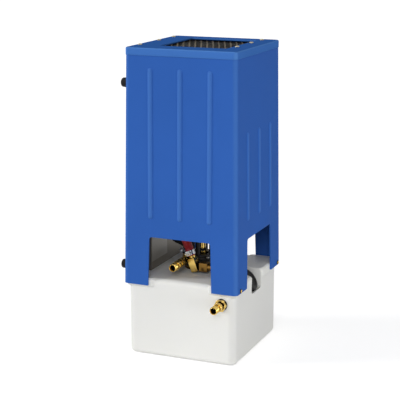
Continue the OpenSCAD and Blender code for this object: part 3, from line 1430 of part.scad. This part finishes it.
tank();
leg_inserts();
cap_liner();
filler_cap();
return_fitting();
return_washer();
return_nut();
dip_tube();
strainer();
deck_grommet();
suction_elbow();
pump_casing();
pump_base();
pump_screws();
impeller();
gland_ring();
shaft_slinger();
shaft_sleeve();
pump_lantern();
drive_shaft();
motor_lower_bell();
motor_upper_bell();
motor_shell();
motor_stator();
motor_windings();
motor_rotor();
motor_bearings();
motor_bolts();
terminal_box();
motor_cradle();
motor_bands();
chassis_panel();
chassis_screws();
fan();
fan_shroud();
coil_fins();
coil_tube();
coil_end_plates();
outlet_block();
outlet_elbow();
outlet_fitting();
red_hose();
black_hose();
hose_clamps();
cover_shell();
lid_frame();
lid_screws();
leg_washers();
leg_screws();
bumper_feet();
bumper_screws();
switch_bezel();
switch_rocker();
cord_gland();
gland_nut();
inner_leads();
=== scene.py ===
"""Looks of the welding water cooler: its materials, its finer shapes, the studio and the camera.

The scene is in metres, X right, Y back, Z up. The shape helpers work in millimetres.
"""
import json
import math

import bmesh
import bpy
from mathutils import Matrix, Vector


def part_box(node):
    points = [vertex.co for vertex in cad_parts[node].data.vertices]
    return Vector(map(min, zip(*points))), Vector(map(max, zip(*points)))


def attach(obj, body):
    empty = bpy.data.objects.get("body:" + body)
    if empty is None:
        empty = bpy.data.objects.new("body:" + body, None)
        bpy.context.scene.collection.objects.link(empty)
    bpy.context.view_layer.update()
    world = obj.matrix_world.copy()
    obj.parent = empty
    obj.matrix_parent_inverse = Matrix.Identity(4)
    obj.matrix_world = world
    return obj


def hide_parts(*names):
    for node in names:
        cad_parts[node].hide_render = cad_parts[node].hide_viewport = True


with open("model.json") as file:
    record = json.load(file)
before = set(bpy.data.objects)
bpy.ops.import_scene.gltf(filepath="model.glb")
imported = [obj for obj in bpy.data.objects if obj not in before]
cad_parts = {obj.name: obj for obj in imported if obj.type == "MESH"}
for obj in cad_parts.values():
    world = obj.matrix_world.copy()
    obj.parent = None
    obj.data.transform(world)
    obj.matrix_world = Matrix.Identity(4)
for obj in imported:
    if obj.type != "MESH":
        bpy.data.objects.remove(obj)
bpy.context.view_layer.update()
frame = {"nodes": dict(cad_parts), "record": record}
NODES = frame["nodes"]
MM = 0.001


# Colours

def srgb(red, green, blue):
    """A colour written from 0 to 255, as the linear colour that a shader takes."""
    def linear(value):
        value /= 255.0
        return value / 12.92 if value <= 0.04045 else ((value + 0.055) / 1.055) ** 2.4
    return (linear(red), linear(green), linear(blue), 1.0)


def shade(color, factor):
    """The same colour, darker or lighter."""
    return tuple(min(1.0, c * factor) for c in color[:3]) + (1.0,)


BLACK = (0.0, 0.0, 0.0, 1.0)
WHITE = (1.0, 1.0, 1.0, 1.0)
COVER_BLUE = srgb(53, 101, 185)
# The lid's blue is the cover's plastic, painted a little lighter as painted light from above.
LIT_LID_BLUE = srgb(59, 110, 190)
# The pale blue is a painted highlight for edges and bead crests.
HIGHLIGHT_BLUE = srgb(104, 158, 228)


# Shader nodes

def feed(tree, socket, value):
    """Links a socket to another one, or gives it a fixed value."""
    if isinstance(value, bpy.types.NodeSocket):
        tree.links.new(value, socket)
    else:
        socket.default_value = value


def add(tree, kind, **sockets):
    """A shader node, its input sockets named with _ for each space."""
    node = tree.nodes.new("ShaderNode" + kind)
    for name, value in sockets.items():
        feed(tree, node.inputs[name.replace("_", " ")], value)
    return node


def calc(tree, operation, *terms):
    """One arithmetic step on sockets or numbers."""
    node = tree.nodes.new("ShaderNodeMath")
    node.operation = operation
    for socket, term in zip(node.inputs, terms):
        feed(tree, socket, term)
    return node.outputs["Value"]


def spread(tree, value, low, high, to_low=0.0, to_high=1.0):
    """Stretches the span low to high of a value over another span, and holds it at both ends."""
    node = add(tree, "MapRange", Value=value, From_Min=low, From_Max=high,
               To_Min=to_low, To_Max=to_high)
    return node.outputs["Result"]


def noise(tree, spot, scale, detail):
    """A cloudy value from 0 to 1."""
    return add(tree, "TexNoise", Vector=spot, Scale=scale, Detail=detail).outputs["Fac"]


def split(tree, vector):
    """The X, Y and Z of a vector socket."""
    return add(tree, "SeparateXYZ", Vector=vector).outputs


def two_tone(tree, share, low, high, first, second):
    """One colour up to a low share, another from a high one, and a blend between them."""
    node = add(tree, "ValToRGB", Fac=share)
    for stop, position, color in zip(node.color_ramp.elements, (low, high), (first, second)):
        stop.position = position
        stop.color = color
    return node.outputs["Color"]


def blend_in(tree, base, extra, share):
    """Mixes a fixed colour into a colour socket by a share socket."""
    return add(tree, "MixRGB", Color1=base, Color2=extra, Fac=share).outputs["Color"]


# Layers of colour, each over the one before: worn patches, and painted shade and highlights

WEAR_DETAIL, WEAR_BLEND = 8.0, 0.18
UP_FROM, UP_FULL = 0.6, 0.95
HOLLOW_SAMPLES, HOLLOW_FROM, HOLLOW_FULL = 8, 0.82, 0.45
BAND_WAVER, BAND_FROM, BAND_FULL = 0.8, 0.72, 0.98


def worn(tree, tint, spot, color, scale, start):
    """Patches of another colour, where a coarse noise is above its start."""
    patches = noise(tree, spot, scale, WEAR_DETAIL)
    share = two_tone(tree, patches, start, start + WEAR_BLEND, BLACK, WHITE)
    return blend_in(tree, tint, color, share)


def paint_top_shade(tree, tint, color):
    """Painted shade: a darker copy of the colour on the faces that look up, standing in for less light
    on top.
    """
    facing = add(tree, "NewGeometry").outputs["True Normal"]
    return blend_in(tree, tint, color, spread(tree, split(tree, facing)["Z"], UP_FROM, UP_FULL))


def paint_hollow_shade(tree, tint, color, reach):
    """Painted shade: a darker colour wherever walls nearer than the reach close a spot in."""
    hollow = add(tree, "AmbientOcclusion", Distance=reach)
    hollow.samples = HOLLOW_SAMPLES
    share = spread(tree, hollow.outputs["AO"], HOLLOW_FROM, HOLLOW_FULL)
    return blend_in(tree, tint, color, share)


def paint_highlight_bands(tree, tint, place, color, scale, turn):
    """Painted highlights: bands of a pale colour, turned about the upright axis, standing in for light
    caught on the fins.
    """
    aslant = add(tree, "Mapping", Vector=place, Rotation=(0, 0, turn)).outputs["Vector"]
    wave = add(tree, "TexWave", Vector=aslant, Scale=scale, Distortion=BAND_WAVER)
    return blend_in(tree, tint, color, spread(tree, wave.outputs["Fac"], BAND_FROM, BAND_FULL))


# Painted highlights on the edges of the blue plastic. The cover's sizes are the CAD's, in metres: its
# width and depth at the legs' feet, its height above them, the feet's height, and how far each wall
# leans in up to the top. The painted highlight on a bead grows from BEAD_FROM to BEAD_FULL out of its
# wall, below its crest.

COVER_W, COVER_D, COVER_H = 0.2396, 0.2519, 0.4503
COVER_FOOT, COVER_DRAFT = 0.1467, 0.006
WALL_LEAN = COVER_DRAFT / COVER_H
WALL_X = COVER_W / 2 + COVER_FOOT * WALL_LEAN
WALL_Y = COVER_D / 2 + COVER_FOOT * WALL_LEAN
BEAD_FROM, BEAD_FULL = 0.0003, 0.0018
CORNER_AREA = 0.0112
EDGE_GAIN = 2.0


def bead_highlight_share(tree, spot):
    """Where the painted highlight goes: up to 1 on the beads' crests, which stand out from the leaning
    walls, and some on the lid.
    """
    lean = calc(tree, "MULTIPLY", spot["Z"], WALL_LEAN)
    proud = []
    for axis, half in (("X", WALL_X), ("Y", WALL_Y)):
        away = calc(tree, "ADD", calc(tree, "ABSOLUTE", spot[axis]), lean)
        proud.append(calc(tree, "SUBTRACT", away, half))
    return spread(tree, calc(tree, "MAXIMUM", *proud), BEAD_FROM, BEAD_FULL)


def highlight_share(tree, normal, place):
    """Near 1 on rims, upright corners and beads, where a painted highlight stands in for the light
    they catch, else 0.

    A rounded normal looks two ways at once on an edge. An upright edge counts only at a corner of
    the object, where x times y is over CORNER_AREA, so that the sides of the beads stay plain.
    """
    turn = split(tree, normal)
    x, y, z = (calc(tree, "ABSOLUTE", turn[axis]) for axis in "XYZ")
    rim = calc(tree, "MULTIPLY", z, calc(tree, "MAXIMUM", x, y))
    spot = split(tree, place)
    area_out = calc(tree, "ABSOLUTE", calc(tree, "MULTIPLY", spot["X"], spot["Y"]))
    at_corner = calc(tree, "GREATER_THAN", area_out, CORNER_AREA)
    upright = calc(tree, "MULTIPLY", calc(tree, "MULTIPLY", x, y), at_corner)
    edges = calc(tree, "MULTIPLY", calc(tree, "MAXIMUM", rim, upright), EDGE_GAIN)
    return calc(tree, "MAXIMUM", edges, bead_highlight_share(tree, spot))


# Materials

NOISE_LOW, NOISE_HIGH = 0.3, 0.7
MOTTLE_DETAIL, GRAIN_DETAIL = 5.0, 3.0
ROUGH_VARY = 0.06
BEVEL_SAMPLES = 6
SOFT_RADIUS = (0.004, 0.004, 0.0035)


def material(name, color, rough, mottle, grain, metal=0.0, specular=0.5, round_edge=0.0,
             stretch=(1, 1, 1), subsurface=0.0, wear=None, hollow_shade=None, highlight_streaks=None,
             edge_highlight=None, top_shade=None):
    """A procedural surface: two tones mottled by noise, a fine bump and rounded-looking edges.

    mottle is (scale, contrast), grain (scale, strength, height) and wear (colour, scale, start).
    Painted light comes in layers too: painted shade in hollows (colour, reach), painted highlight
    streaks (colour, scale, turn), painted edge highlights (colour, amount), and painted shade on top
    (a factor).
    """
    mat = bpy.data.materials.new(name)
    mat.use_nodes = True
    mat.diffuse_color = color
    tree = mat.node_tree
    tree.nodes.clear()
    surface = add(tree, "BsdfPrincipled", Metallic=metal, Specular_IOR_Level=specular)
    add(tree, "OutputMaterial", Surface=surface.outputs["BSDF"])
    if subsurface:
        feed(tree, surface.inputs["Subsurface Weight"], subsurface)
        feed(tree, surface.inputs["Subsurface Radius"], SOFT_RADIUS)
        feed(tree, surface.inputs["Subsurface Scale"], 1.0)

    place = add(tree, "TexCoord").outputs["Object"]
    spot = add(tree, "Mapping", Vector=place, Scale=stretch).outputs["Vector"]
    scale, contrast = mottle
    cloud = noise(tree, spot, scale, MOTTLE_DETAIL)
    tint = two_tone(tree, cloud, NOISE_LOW, NOISE_HIGH,
                    shade(color, 1 - contrast), shade(color, 1 + contrast))
    if wear:
        tint = worn(tree, tint, spot, *wear)
    # Painted shade: faces that look up get a darker copy of the colour.
    if top_shade:
        tint = paint_top_shade(tree, tint, shade(color, top_shade))
    # Painted shade in hollows, from ambient occlusion.
    if hollow_shade:
        tint = paint_hollow_shade(tree, tint, *hollow_shade)
    # Painted highlights in slanting bands.
    if highlight_streaks:
        tint = paint_highlight_bands(tree, tint, place, *highlight_streaks)
    normal = None
    if round_edge:
        edge = add(tree, "Bevel", Radius=round_edge)
        edge.samples = BEVEL_SAMPLES
        normal = edge.outputs["Normal"]
    # Painted highlights on edges, corners and bead crests.
    if edge_highlight:
        pale, amount = edge_highlight
        share = calc(tree, "MULTIPLY", highlight_share(tree, normal, place), amount)
        tint = blend_in(tree, tint, pale, share)
    feed(tree, surface.inputs["Base Color"], tint)
    feed(tree, surface.inputs["Roughness"],
         spread(tree, cloud, NOISE_LOW, NOISE_HIGH, rough - ROUGH_VARY, rough + ROUGH_VARY))
    if grain:
        scale, strength, height = grain
        bump = add(tree, "Bump", Strength=strength, Distance=height,
                   Height=noise(tree, spot, scale, GRAIN_DETAIL))
        if normal:
            feed(tree, bump.inputs["Normal"], normal)
        normal = bump.outputs["Normal"]
    if normal:
        feed(tree, surface.inputs["Normal"], normal)
    return mat


# The record's material slots, and two of this scene's own: a plate, and a darker copy of the brass
# painted as shade for the two parts deep under the cover

MATS = {
    # The blues' pale edge colour is a painted highlight on rims, corners and bead crests.
    "cover_blue": material(
        "cover_blue", COVER_BLUE, rough=0.60, mottle=(5.0, 0.05), grain=(700.0, 0.22, 0.0004),
        specular=0.02, round_edge=0.0006, edge_highlight=(HIGHLIGHT_BLUE, 0.22)),
    # The lid: a lighter blue as painted light, a darker top as painted shade, and painted edge
    # highlights.
    "lid_blue": material(
        "lid_blue", LIT_LID_BLUE, rough=0.58, mottle=(7.0, 0.05), grain=(700.0, 0.22, 0.0004),
        specular=0.0, round_edge=0.0018, edge_highlight=(HIGHLIGHT_BLUE, 0.50), top_shade=0.84),
    "tank_white": material(
        "tank_white", srgb(241, 241, 237), rough=0.46, mottle=(4.0, 0.02),
        grain=(500.0, 0.12, 0.0004), specular=0.3, round_edge=0.0012, subsurface=0.25),
    "black_rubber": material(
        "black_rubber", srgb(16, 16, 17), rough=0.66, mottle=(20.0, 0.10),
        grain=(1500.0, 0.25, 0.0002), specular=0.18, round_edge=0.0004),
    "black_plastic": material(
        "black_plastic", srgb(13, 13, 14), rough=0.45, mottle=(30.0, 0.08),
        grain=(1200.0, 0.15, 0.0002), specular=0.18, round_edge=0.0004),
    # The brass's hollows get painted shade; its wear patches are its own colour.
    "brass": material(
        "brass", srgb(222, 188, 104), rough=0.20, mottle=(60.0, 0.10),
        grain=(900.0, 0.08, 0.0002), metal=1.0, round_edge=0.0003,
        wear=(srgb(120, 78, 30), 90.0, 0.62), hollow_shade=(srgb(46, 32, 12), 0.009)),
    # A darker copy of the brass, as painted shade for the parts deep under the cover; its hollows get
    # painted shade too.
    "shaded_brass": material(
        "shaded_brass", srgb(148, 112, 56), rough=0.34, mottle=(60.0, 0.20),
        grain=(500.0, 0.20, 0.0003), metal=1.0, round_edge=0.0004,
        wear=(srgb(52, 36, 18), 70.0, 0.50), hollow_shade=(srgb(30, 22, 12), 0.008)),
    "steel": material(
        "steel", srgb(196, 198, 200), rough=0.28, mottle=(80.0, 0.06),
        grain=(600.0, 0.10, 0.0002), metal=1.0, round_edge=0.0003, stretch=(1, 1, 6)),
    "zinc": material(
        "zinc", srgb(120, 114, 104), rough=0.5, mottle=(45.0, 0.10),
        grain=(400.0, 0.08, 0.0002), metal=0.6, round_edge=0.0003),
    "dark_iron": material(
        "dark_iron", srgb(40, 37, 35), rough=0.5, mottle=(30.0, 0.15),
        grain=(350.0, 0.30, 0.0004), metal=0.2, round_edge=0.0005),
    "copper": material(
        "copper", srgb(150, 92, 60), rough=0.36, mottle=(40.0, 0.15),
        grain=(500.0, 0.08, 0.0002), metal=1.0),
    # The fins' pale slanting streaks are painted highlights of light caught on their edges.
    "fin_metal": material(
        "fin_metal", srgb(50, 46, 42), rough=0.42, mottle=(60.0, 0.12), grain=None, metal=0.8,
        highlight_streaks=(srgb(188, 176, 154), 26.96, -0.39)),
    "winding": material(
        "winding", srgb(140, 70, 34), rough=0.4, mottle=(90.0, 0.2),
        grain=(900.0, 0.6, 0.0006), metal=0.5, stretch=(1, 1, 12)),
    "red_hose": material(
        "red_hose", srgb(168, 34, 44), rough=0.44, mottle=(25.0, 0.06),
        grain=(1200.0, 0.15, 0.0002)),
    "screw_tan": material(
        "screw_tan", srgb(166, 158, 136), rough=0.34, mottle=(90.0, 0.10),
        grain=(900.0, 0.08, 0.0002), metal=1.0, round_edge=0.0002),
    "plate": material(
        "plate", srgb(150, 146, 138), rough=0.4, mottle=(40.0, 0.05),
        grain=(500.0, 0.05, 0.0002), metal=0.3),
}
# These brass parts take the darker copy, as painted shade.
SHADED_BRASS_NODES = ("suction_elbow", "pump_base")

for part in frame["record"]["subparts"]:
    look = MATS["shaded_brass" if part["node"] in SHADED_BRASS_NODES else part["material_slot"]]
    for slot in NODES[part["node"]].material_slots:
        slot.material = look


# Shapes, all in millimetres

SHARP_ANGLE = math.radians(32)
SEGMENTS = 72
BOX_SIDES = ((0, 2, 3, 1), (4, 5, 7, 6), (0, 1, 5, 4), (2, 6, 7, 3), (0, 4, 6, 2), (1, 3, 7, 5))


def box_mm(node):
    """Lowest and highest corner of a CAD node."""
    return [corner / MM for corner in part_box(node)]


def piece(name, verts, faces, look, body="chassis", replaces=(), smooth=True, matrix=None):
    """Makes a mesh from millimetre points, moves it by a matrix, and lets it ride on a body."""
    mesh = bpy.data.meshes.new(name)
    if matrix is not None:
        verts = [matrix @ Vector(v) for v in verts]
    mesh.from_pydata([Vector(v) * MM for v in verts], [], faces)
    work = bmesh.new()
    work.from_mesh(mesh)
    bmesh.ops.recalc_face_normals(work, faces=work.faces)
    work.to_mesh(mesh)
    work.free()
    for face in mesh.polygons:
        face.use_smooth = smooth
    obj = bpy.data.objects.new(name, mesh)
    mesh.materials.append(look)
    bpy.context.collection.objects.link(obj)
    if smooth:
        mesh.set_sharp_from_angle(angle=SHARP_ANGLE)
    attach(obj, body)
    if replaces:
        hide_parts(*replaces)
    return obj


def box_mesh(boxes):
    """Vertices and faces of several boxes, each given by its two corners."""
    verts, faces = [], []
    for low, high in boxes:
        base = len(verts)
        for corner in range(8):
            verts.append([high[a] if corner >> a & 1 else low[a] for a in range(3)])
        faces += [[base + k for k in side] for side in BOX_SIDES]
    return verts, faces


def turned(rows):
    """A closed turned body. Each row is a height, and a radius or a function of the angle."""
    verts, faces = [], []
    for height, radius in rows:
        for k in range(SEGMENTS):
            angle = 2 * math.pi * k / SEGMENTS
            r = radius(angle) if callable(radius) else radius
            verts.append((r * math.cos(angle), r * math.sin(angle), height))
    for i in range(len(rows)):
        here = i * SEGMENTS
        above = (i + 1) % len(rows) * SEGMENTS
        for k in range(SEGMENTS):
            n = (k + 1) % SEGMENTS
            faces.append((here + k, here + n, above + n, above + k))
    return verts, faces


# Coolant fittings with cut threads. The nose is the CAD's, and its thread makes 18 turns an inch.

NOSE_R, NOSE_BORE, NOSE_LEN, GROOVE = 7.94, 4.4, 11.0, 1.8
WAIST_R = NOSE_R - GROOVE
HEX_STEP, HEX_EDGE, HEX_CHAMFER, HEX_ROUND = math.pi / 3, 0.7, 0.985, 0.35
COLLAR_R, COLLAR_EDGE = NOSE_R + GROOVE / 3, 0.5
COLLAR_FROM, COLLAR_SHARE, COLLAR_REST = 0.35, 0.55, 0.5
THREAD_PITCH, THREAD_DEPTH, THREAD_LEAD, ROWS_PER_TURN, PLAIN_ROWS = 1.41, 0.72, 0.9, 6, 3
TIP_LEN, TIP_SIDE, TIP_IN, SEAT_OUT = 0.6, 0.8, 1.3, 2.0
TAIL_EDGE, TAIL_PLAY, TAIL_STOP = 0.8, 0.1, 0.4


def hexagon(flats):
    """Radius of a six-sided bar at each angle, its corners slightly rounded."""
    corner = flats / math.sqrt(3) - HEX_ROUND

    def radius(angle):
        part = (angle + HEX_STEP / 2) % HEX_STEP - HEX_STEP / 2
        return min(flats / 2 / math.cos(HEX_STEP / 2 - abs(part)), corner)
    return radius


def thread(height):
    """Radius of the nose's thread at one height, for every angle."""
    def radius(angle):
        turn = (height / THREAD_PITCH - angle / (2 * math.pi)) % 1.0
        return NOSE_R - THREAD_DEPTH * abs(2 * turn - 1)
    return radius


def tail_rows(tail):
    """The plain round part behind the hex, which goes through the tank's wall."""
    side = NOSE_R - TAIL_PLAY
    return [(-tail, NOSE_R - TAIL_EDGE), (-tail + TAIL_EDGE, side), (-TAIL_STOP, side)]


def hex_rows(flats, height):
    """A hexagon with chamfered ends, down to the waist in front of it."""
    chamfer = flats / 2 * HEX_CHAMFER
    bar = hexagon(flats)
    return [(0, chamfer), (HEX_EDGE, bar), (height - HEX_EDGE, bar), (height, chamfer),
            (height, WAIST_R)]


def collar_rows(low, high):
    """A round collar between two heights, its edges chamfered."""
    shoulder = COLLAR_R - COLLAR_EDGE
    return [(low, WAIST_R), (low, shoulder), (low + COLLAR_EDGE, COLLAR_R),
            (high - COLLAR_EDGE, COLLAR_R), (high, shoulder), (high, WAIST_R)]


def nose_rows(start):
    """The threaded nose from its root to its tip, and the cone seat in its mouth."""
    rows = [(start, WAIST_R), (start, NOSE_R - THREAD_LEAD)]
    steps = int(NOSE_LEN / THREAD_PITCH * ROWS_PER_TURN)
    for i in range(1, steps - PLAIN_ROWS):
        height = start + NOSE_LEN * i / steps
        rows.append((height, thread(height)))
    end = start + NOSE_LEN
    return rows + [(end - TIP_LEN, NOSE_R - TIP_SIDE), (end, NOSE_R - TIP_IN),
                   (end, NOSE_BORE + SEAT_OUT), (end - NOSE_LEN / 3, NOSE_BORE)]


def fitting(name, node, hex_h, collars, tail):
    """A brass fitting in its CAD node's box: tail, hex, round collars and nose, bored through."""
    low, high = box_mm(node)
    flats = (high.x - low.x) * math.cos(HEX_STEP / 2)
    root = Vector(((low.x + high.x) / 2, high.y - tail, (low.z + high.z) / 2))
    nose_from = root.y - low.y - NOSE_LEN
    rows = tail_rows(tail) if tail else []
    rows += hex_rows(flats, hex_h)
    pitch = (nose_from - hex_h) / (collars + COLLAR_REST)
    for i in range(collars):
        start = hex_h + pitch * (i + COLLAR_FROM)
        rows += collar_rows(start, start + pitch * COLLAR_SHARE)
    rows += nose_rows(nose_from)
    rows.append((-tail, NOSE_BORE))
    verts, faces = turned(rows)
    to_front = Matrix.Translation(root) @ Matrix.Rotation(math.pi / 2, 4, "X")
    return piece(name, verts, faces, MATS["brass"], replaces=(node,), matrix=to_front)


fitting("outlet_nose", "outlet_fitting", hex_h=8.6, collars=3, tail=0)
fitting("return_nose", "return_fitting", hex_h=8.0, collars=1, tail=17)


# Close fins on the coil, in place of the CAD's fewer ones. They reach higher, to just under the lid.

FIN_PITCH, FIN_T = 2.54, 0.28
FIN_SIDE, FIN_END, FIN_TALLER, FIN_LOWER = 3.7, 0.25, 4.0, 0.02


def fin_pack():
    """Fins in one row, centred on the CAD's and spread a little past them on both sides."""
    low, high = box_mm("coil_fins")
    gaps = int((high.x - low.x + 2 * FIN_SIDE) / FIN_PITCH)
    bottom = low.z - FIN_LOWER
    top = bottom + high.z - low.z + FIN_TALLER
    fins = []
    for i in range(gaps + 1):
        x = (low.x + high.x) / 2 + (i - gaps / 2) * FIN_PITCH
        fins.append(((x - FIN_T / 2, low.y + FIN_END, bottom), (x + FIN_T / 2, high.y - FIN_END, top)))
    verts, faces = box_mesh(fins)
    piece("fin_pack", verts, faces, MATS["fin_metal"], replaces=("coil_fins",),
          smooth=False)


# Bare rating plate on the inner panel

PLATE_SIZE = Vector((0.3, 74.0, 85.0))
PLATE_IN, PLATE_UP = 2.95, 16.9


def bare_plate():
    """A thin plate on the panel's inner face, with nothing on it."""
    low, high = box_mm("chassis_panel")
    corner = Vector((high.x, low.y + PLATE_IN, low.z + PLATE_UP))
    verts, faces = box_mesh([(corner, corner + PLATE_SIZE)])
    piece("bare_plate", verts, faces, MATS["plate"], smooth=False)


fin_pack()
bare_plate()


# Floor, light and camera

FLOOR_GLOW, SKY_LIGHT = 0.55, 0.39
FLOOR_SIZE, FLOOR_DROP = 60.0, 0.0002
FLOOR_GREY, FLOOR_ROUGH = (0.80, 0.80, 0.80, 1.0), 0.9
CAMERA_PLACE = (0.9121, -2.2132, 0.8643)
CAMERA_YAW, CAMERA_PITCH = math.radians(22.59), math.radians(13.316)
CAMERA_LENS, SENSOR_W = 110.41, 36.0


def seen_directly(tree):
    """1 for rays that show the background in the picture, in metal or through glass, else 0."""
    path = add(tree, "LightPath").outputs
    mirrored = calc(tree, "MAXIMUM", path["Is Camera Ray"], path["Is Glossy Ray"])
    return calc(tree, "MAXIMUM", mirrored, path["Is Transmission Ray"])


def stage_floor():
    """A pale floor that shows near white and keeps the object's soft shadow."""
    bpy.ops.mesh.primitive_plane_add(size=FLOOR_SIZE, location=(0, 0, -FLOOR_DROP))
    floor = bpy.context.object
    floor.name = "floor"
    mat = bpy.data.materials.new("floor_white")
    mat.use_nodes = True
    tree = mat.node_tree
    surface = tree.nodes["Principled BSDF"].inputs
    feed(tree, surface["Base Color"], FLOOR_GREY)
    feed(tree, surface["Roughness"], FLOOR_ROUGH)
    feed(tree, surface["Specular IOR Level"], 0.0)
    feed(tree, surface["Emission Color"], WHITE)
    glow = calc(tree, "MULTIPLY", seen_directly(tree), FLOOR_GLOW)
    feed(tree, surface["Emission Strength"], glow)
    floor.data.materials.append(mat)


def studio_world():
    """Even white light all round, shown as white where the picture looks past the floor."""
    world = bpy.data.worlds.new("studio")
    world.use_nodes = True
    tree = world.node_tree
    back = tree.nodes["Background"].inputs
    feed(tree, back["Color"], WHITE)
    feed(tree, back["Strength"], spread(tree, seen_directly(tree), 0.0, 1.0, SKY_LIGHT, 1.0))
    bpy.context.scene.world = world


def aimed(name, data, place, direction):
    """Puts a lamp or the camera at a place, so that it looks along a direction."""
    obj = bpy.data.objects.new(name, data)
    obj.location = place
    obj.rotation_mode = "QUATERNION"
    obj.rotation_quaternion = Vector(direction).to_track_quat("-Z", "Y")
    bpy.context.collection.objects.link(obj)
    return obj


def sun(name, direction, strength, degrees):
    data = bpy.data.lights.new(name, "SUN")
    data.energy = strength
    data.angle = math.radians(degrees)
    aimed(name, data, (0, 0, 0), direction)


def disk_lamp(name, place, target, size, power):
    data = bpy.data.lights.new(name, "AREA")
    data.shape = "DISK"
    data.size = size
    data.energy = power
    aimed(name, data, place, Vector(target) - Vector(place))


def photo_camera():
    """The camera at the photograph's place, angle and framing."""
    data = bpy.data.cameras.new("camera")
    data.sensor_width = SENSOR_W
    data.lens = CAMERA_LENS
    level = math.cos(CAMERA_PITCH)
    ahead = (-math.sin(CAMERA_YAW) * level, math.cos(CAMERA_YAW) * level, -math.sin(CAMERA_PITCH))
    bpy.context.scene.camera = aimed("camera", data, CAMERA_PLACE, ahead)


stage_floor()
studio_world()
sun("key", direction=(0.86, 0.42, -0.38), strength=1.37, degrees=18)
sun("front", direction=(-0.25, 0.86, -0.50), strength=0.70, degrees=24)
disk_lamp("side", place=(1.20, -0.66, 0.18), target=(0.10, 0.0, 0.20), size=0.5, power=3.1)
photo_camera()
bpy.context.scene.view_settings.view_transform = "Standard"
